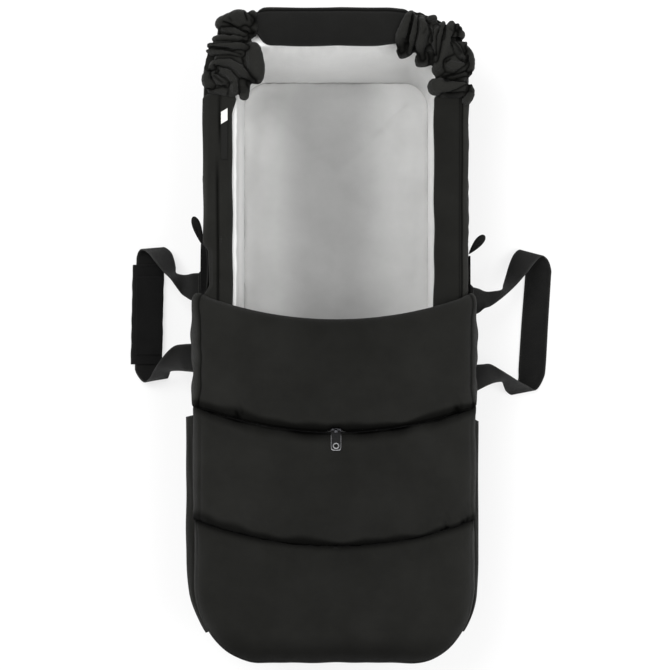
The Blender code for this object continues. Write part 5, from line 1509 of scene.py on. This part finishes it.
# %% [markdown]
# ## Zips, sliders and the puller
# The zip rows and sliders keep the imported shapes. The coil is polyester, and the sliders are cast zinc with a
# dark plating that is brighter in fine blotches. The puller is the one piece of metal that is seen, so it
# gets its own plate with bevelled edges and a drilled eye.

# %% Zip and metal finishes
sliders = ("cross_slider", "side_slider_left", "side_slider_right")


def plated_metal(name, dark, bright, roughness):
    """Plated cast metal: a fine blotchy tone, brighter where noise says that the plating is thin."""
    made, tree, shader = blank_material(name)
    place = add(tree, "ShaderNodeTexCoord").outputs["Object"]
    blotch = add(tree, "ShaderNodeTexNoise", Vector=place, Scale=420.0, Detail=4.0)
    tone = add(tree, "ShaderNodeMapRange", _0=blotch, _1=0.35, _2=0.75)
    colour = add(tree, "ShaderNodeMix", {"data_type": "RGBA"}, _0=tone, _6=linear(dark), _7=linear(bright))
    tree.links.new(colour.outputs[2], shader.inputs["Base Color"])
    grain = add(tree, "ShaderNodeBump", Strength=0.2, Distance=0.00005, Height=blotch)
    tree.links.new(grain.outputs[0], shader.inputs["Normal"])
    shader.inputs["Metallic"].default_value = 1.0
    shader.inputs["Roughness"].default_value = roughness
    return made


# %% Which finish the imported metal, zip and board get
# Zinc alloy, die cast and plated in black nickel: dark, with soft bright edges.
black_nickel = plated_metal("Black nickel plated zinc casting", "2A2A2C", "4A4A4E", 0.34)
# The puller is stoved black, with bright bare zinc along its edges where its attribute is 1: a painted highlight on
# its bevels.
stoved_zinc = plated_metal("Stove enamelled zinc, edges painted bright", "101011", "181819", 0.5)
tree, shader = stoved_zinc.node_tree, stoved_zinc.node_tree.nodes["Principled BSDF"]
painted_light_share = add(tree, "ShaderNodeAttribute", {"attribute_name": "painted_light_and_shade"}).outputs["Fac"]
enamel = shader.inputs["Base Color"].links[0].from_socket
colour = add(tree, "ShaderNodeMix", {"data_type": "RGBA"}, _0=painted_light_share, _6=enamel, _7=linear("8E8E90"))
tree.links.new(colour.outputs[2], shader.inputs["Base Color"])
tree.links.new(painted_light_share, shader.inputs["Metallic"])
shader.inputs["Specular IOR Level"].default_value = 0.1
# Polyester coil zip on woven tape: the coil's turns are 2.2 mm apart here, about twice as coarse as real.
zip_coil = woven("Black polyester coil zip", ("121212", "1C1C1C"), 0.0022, 0.0006, 0.6, 0.01)
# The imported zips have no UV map, so their weave runs along x and y of the part.
tree = zip_coil.node_tree
place = add(tree, "ShaderNodeTexCoord").outputs["Object"]
for link in [link for link in tree.links if link.from_node.type == "UVMAP"]:
    tree.links.new(place, link.to_socket)
# Pressed fibre board, hidden in the base: pale brown and fuzzy.
fibre_board = woven("Pressed fibre base board", ("8A7358", "9C866A"), 0.0014, 0.0002, 0.9, 0.0)

for name, node in nodes.items():
    if not node.hide_render:
        finish = black_nickel if name in sliders else fibre_board if name == "base_board" else zip_coil
        for slot in node.material_slots:
            slot.material = finish
print("kept nodes:", sorted(name for name, node in nodes.items() if not node.hide_render))

# %% The puller: a bevelled plate with an eye
puller_half, puller_length, puller_thick = 0.00625, 0.0262, 0.0014
puller_root, eye_from_end = 0.0014, 0.0060
# Where the plate hangs on its slider, and how far its free end is lifted.
hinge_y, hinge_z, lean = cross_seam, 0.1743, math.radians(27)
outline_turn = np.linspace(0, 2 * np.pi, 97)


def rounded_plate(inset, rise):
    """The plate's outline moved in by inset, as a superellipse of power 6, lifted by rise."""
    across = (puller_half - inset) * signed_power(np.cos(outline_turn), 2 / 6)
    along = (puller_length / 2 - inset) * signed_power(np.sin(outline_turn), 2 / 6) + puller_length / 2 - puller_root
    return surface(across, along, rise)


def eye(radius, rise):
    """The eye's circle, near the plate's free end."""
    middle = puller_length - puller_root - eye_from_end
    return surface(radius * np.cos(outline_turn), middle + radius * np.sin(outline_turn), rise)


# Rings from inside the eye over the underside, the bevelled edge and the top, up the raised collar and back into the
# eye, each with its share of painted highlight, drawn as bright bare zinc.
t = puller_thick / 2
rings = (
    (eye(0.0021, t * 0.5), 0), (eye(0.0021, -t * 0.5), 0), (eye(0.0027, -t), 0), (rounded_plate(0.0007, -t), 0.1),
    (rounded_plate(0, -t * 0.3), 0.8), (rounded_plate(0, t * 0.3), 0.8), (rounded_plate(0.0006, t), 0.8),
    (rounded_plate(0.0009, t), 0), (eye(0.0040, t), 0), (eye(0.0038, t), 0.8), (eye(0.0036, t + 0.0003), 0.8),
    (eye(0.0028, t + 0.0003), 0.8), (eye(0.0021, t * 0.5), 0.1),
)
across, along, rise = np.moveaxis(np.stack([ring for ring, _ in rings]), -1, 0)
py = hinge_y - along * math.cos(lean) + rise * math.sin(lean)
pz = hinge_z + along * math.sin(lean) + rise * math.cos(lean)
puller = sew("zip_puller_plate", surface(across, py, pz), stoved_zinc)
# The painted highlight fades out towards the hinge, where the plate lies in shadow: painted shadow.
painted_light_and_shade = np.array([wear for _, wear in rings])[:, None] * smooth_step(0.0035, 0.0075, along)
keep_values(puller.data, "painted_light_and_shade", painted_light_and_shade)
weld_points(puller, 1e-6)
puller.data.shade_smooth()
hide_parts("cross_puller")
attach(puller, "cross_puller")
print("puller", len(puller.data.polygons), "faces")
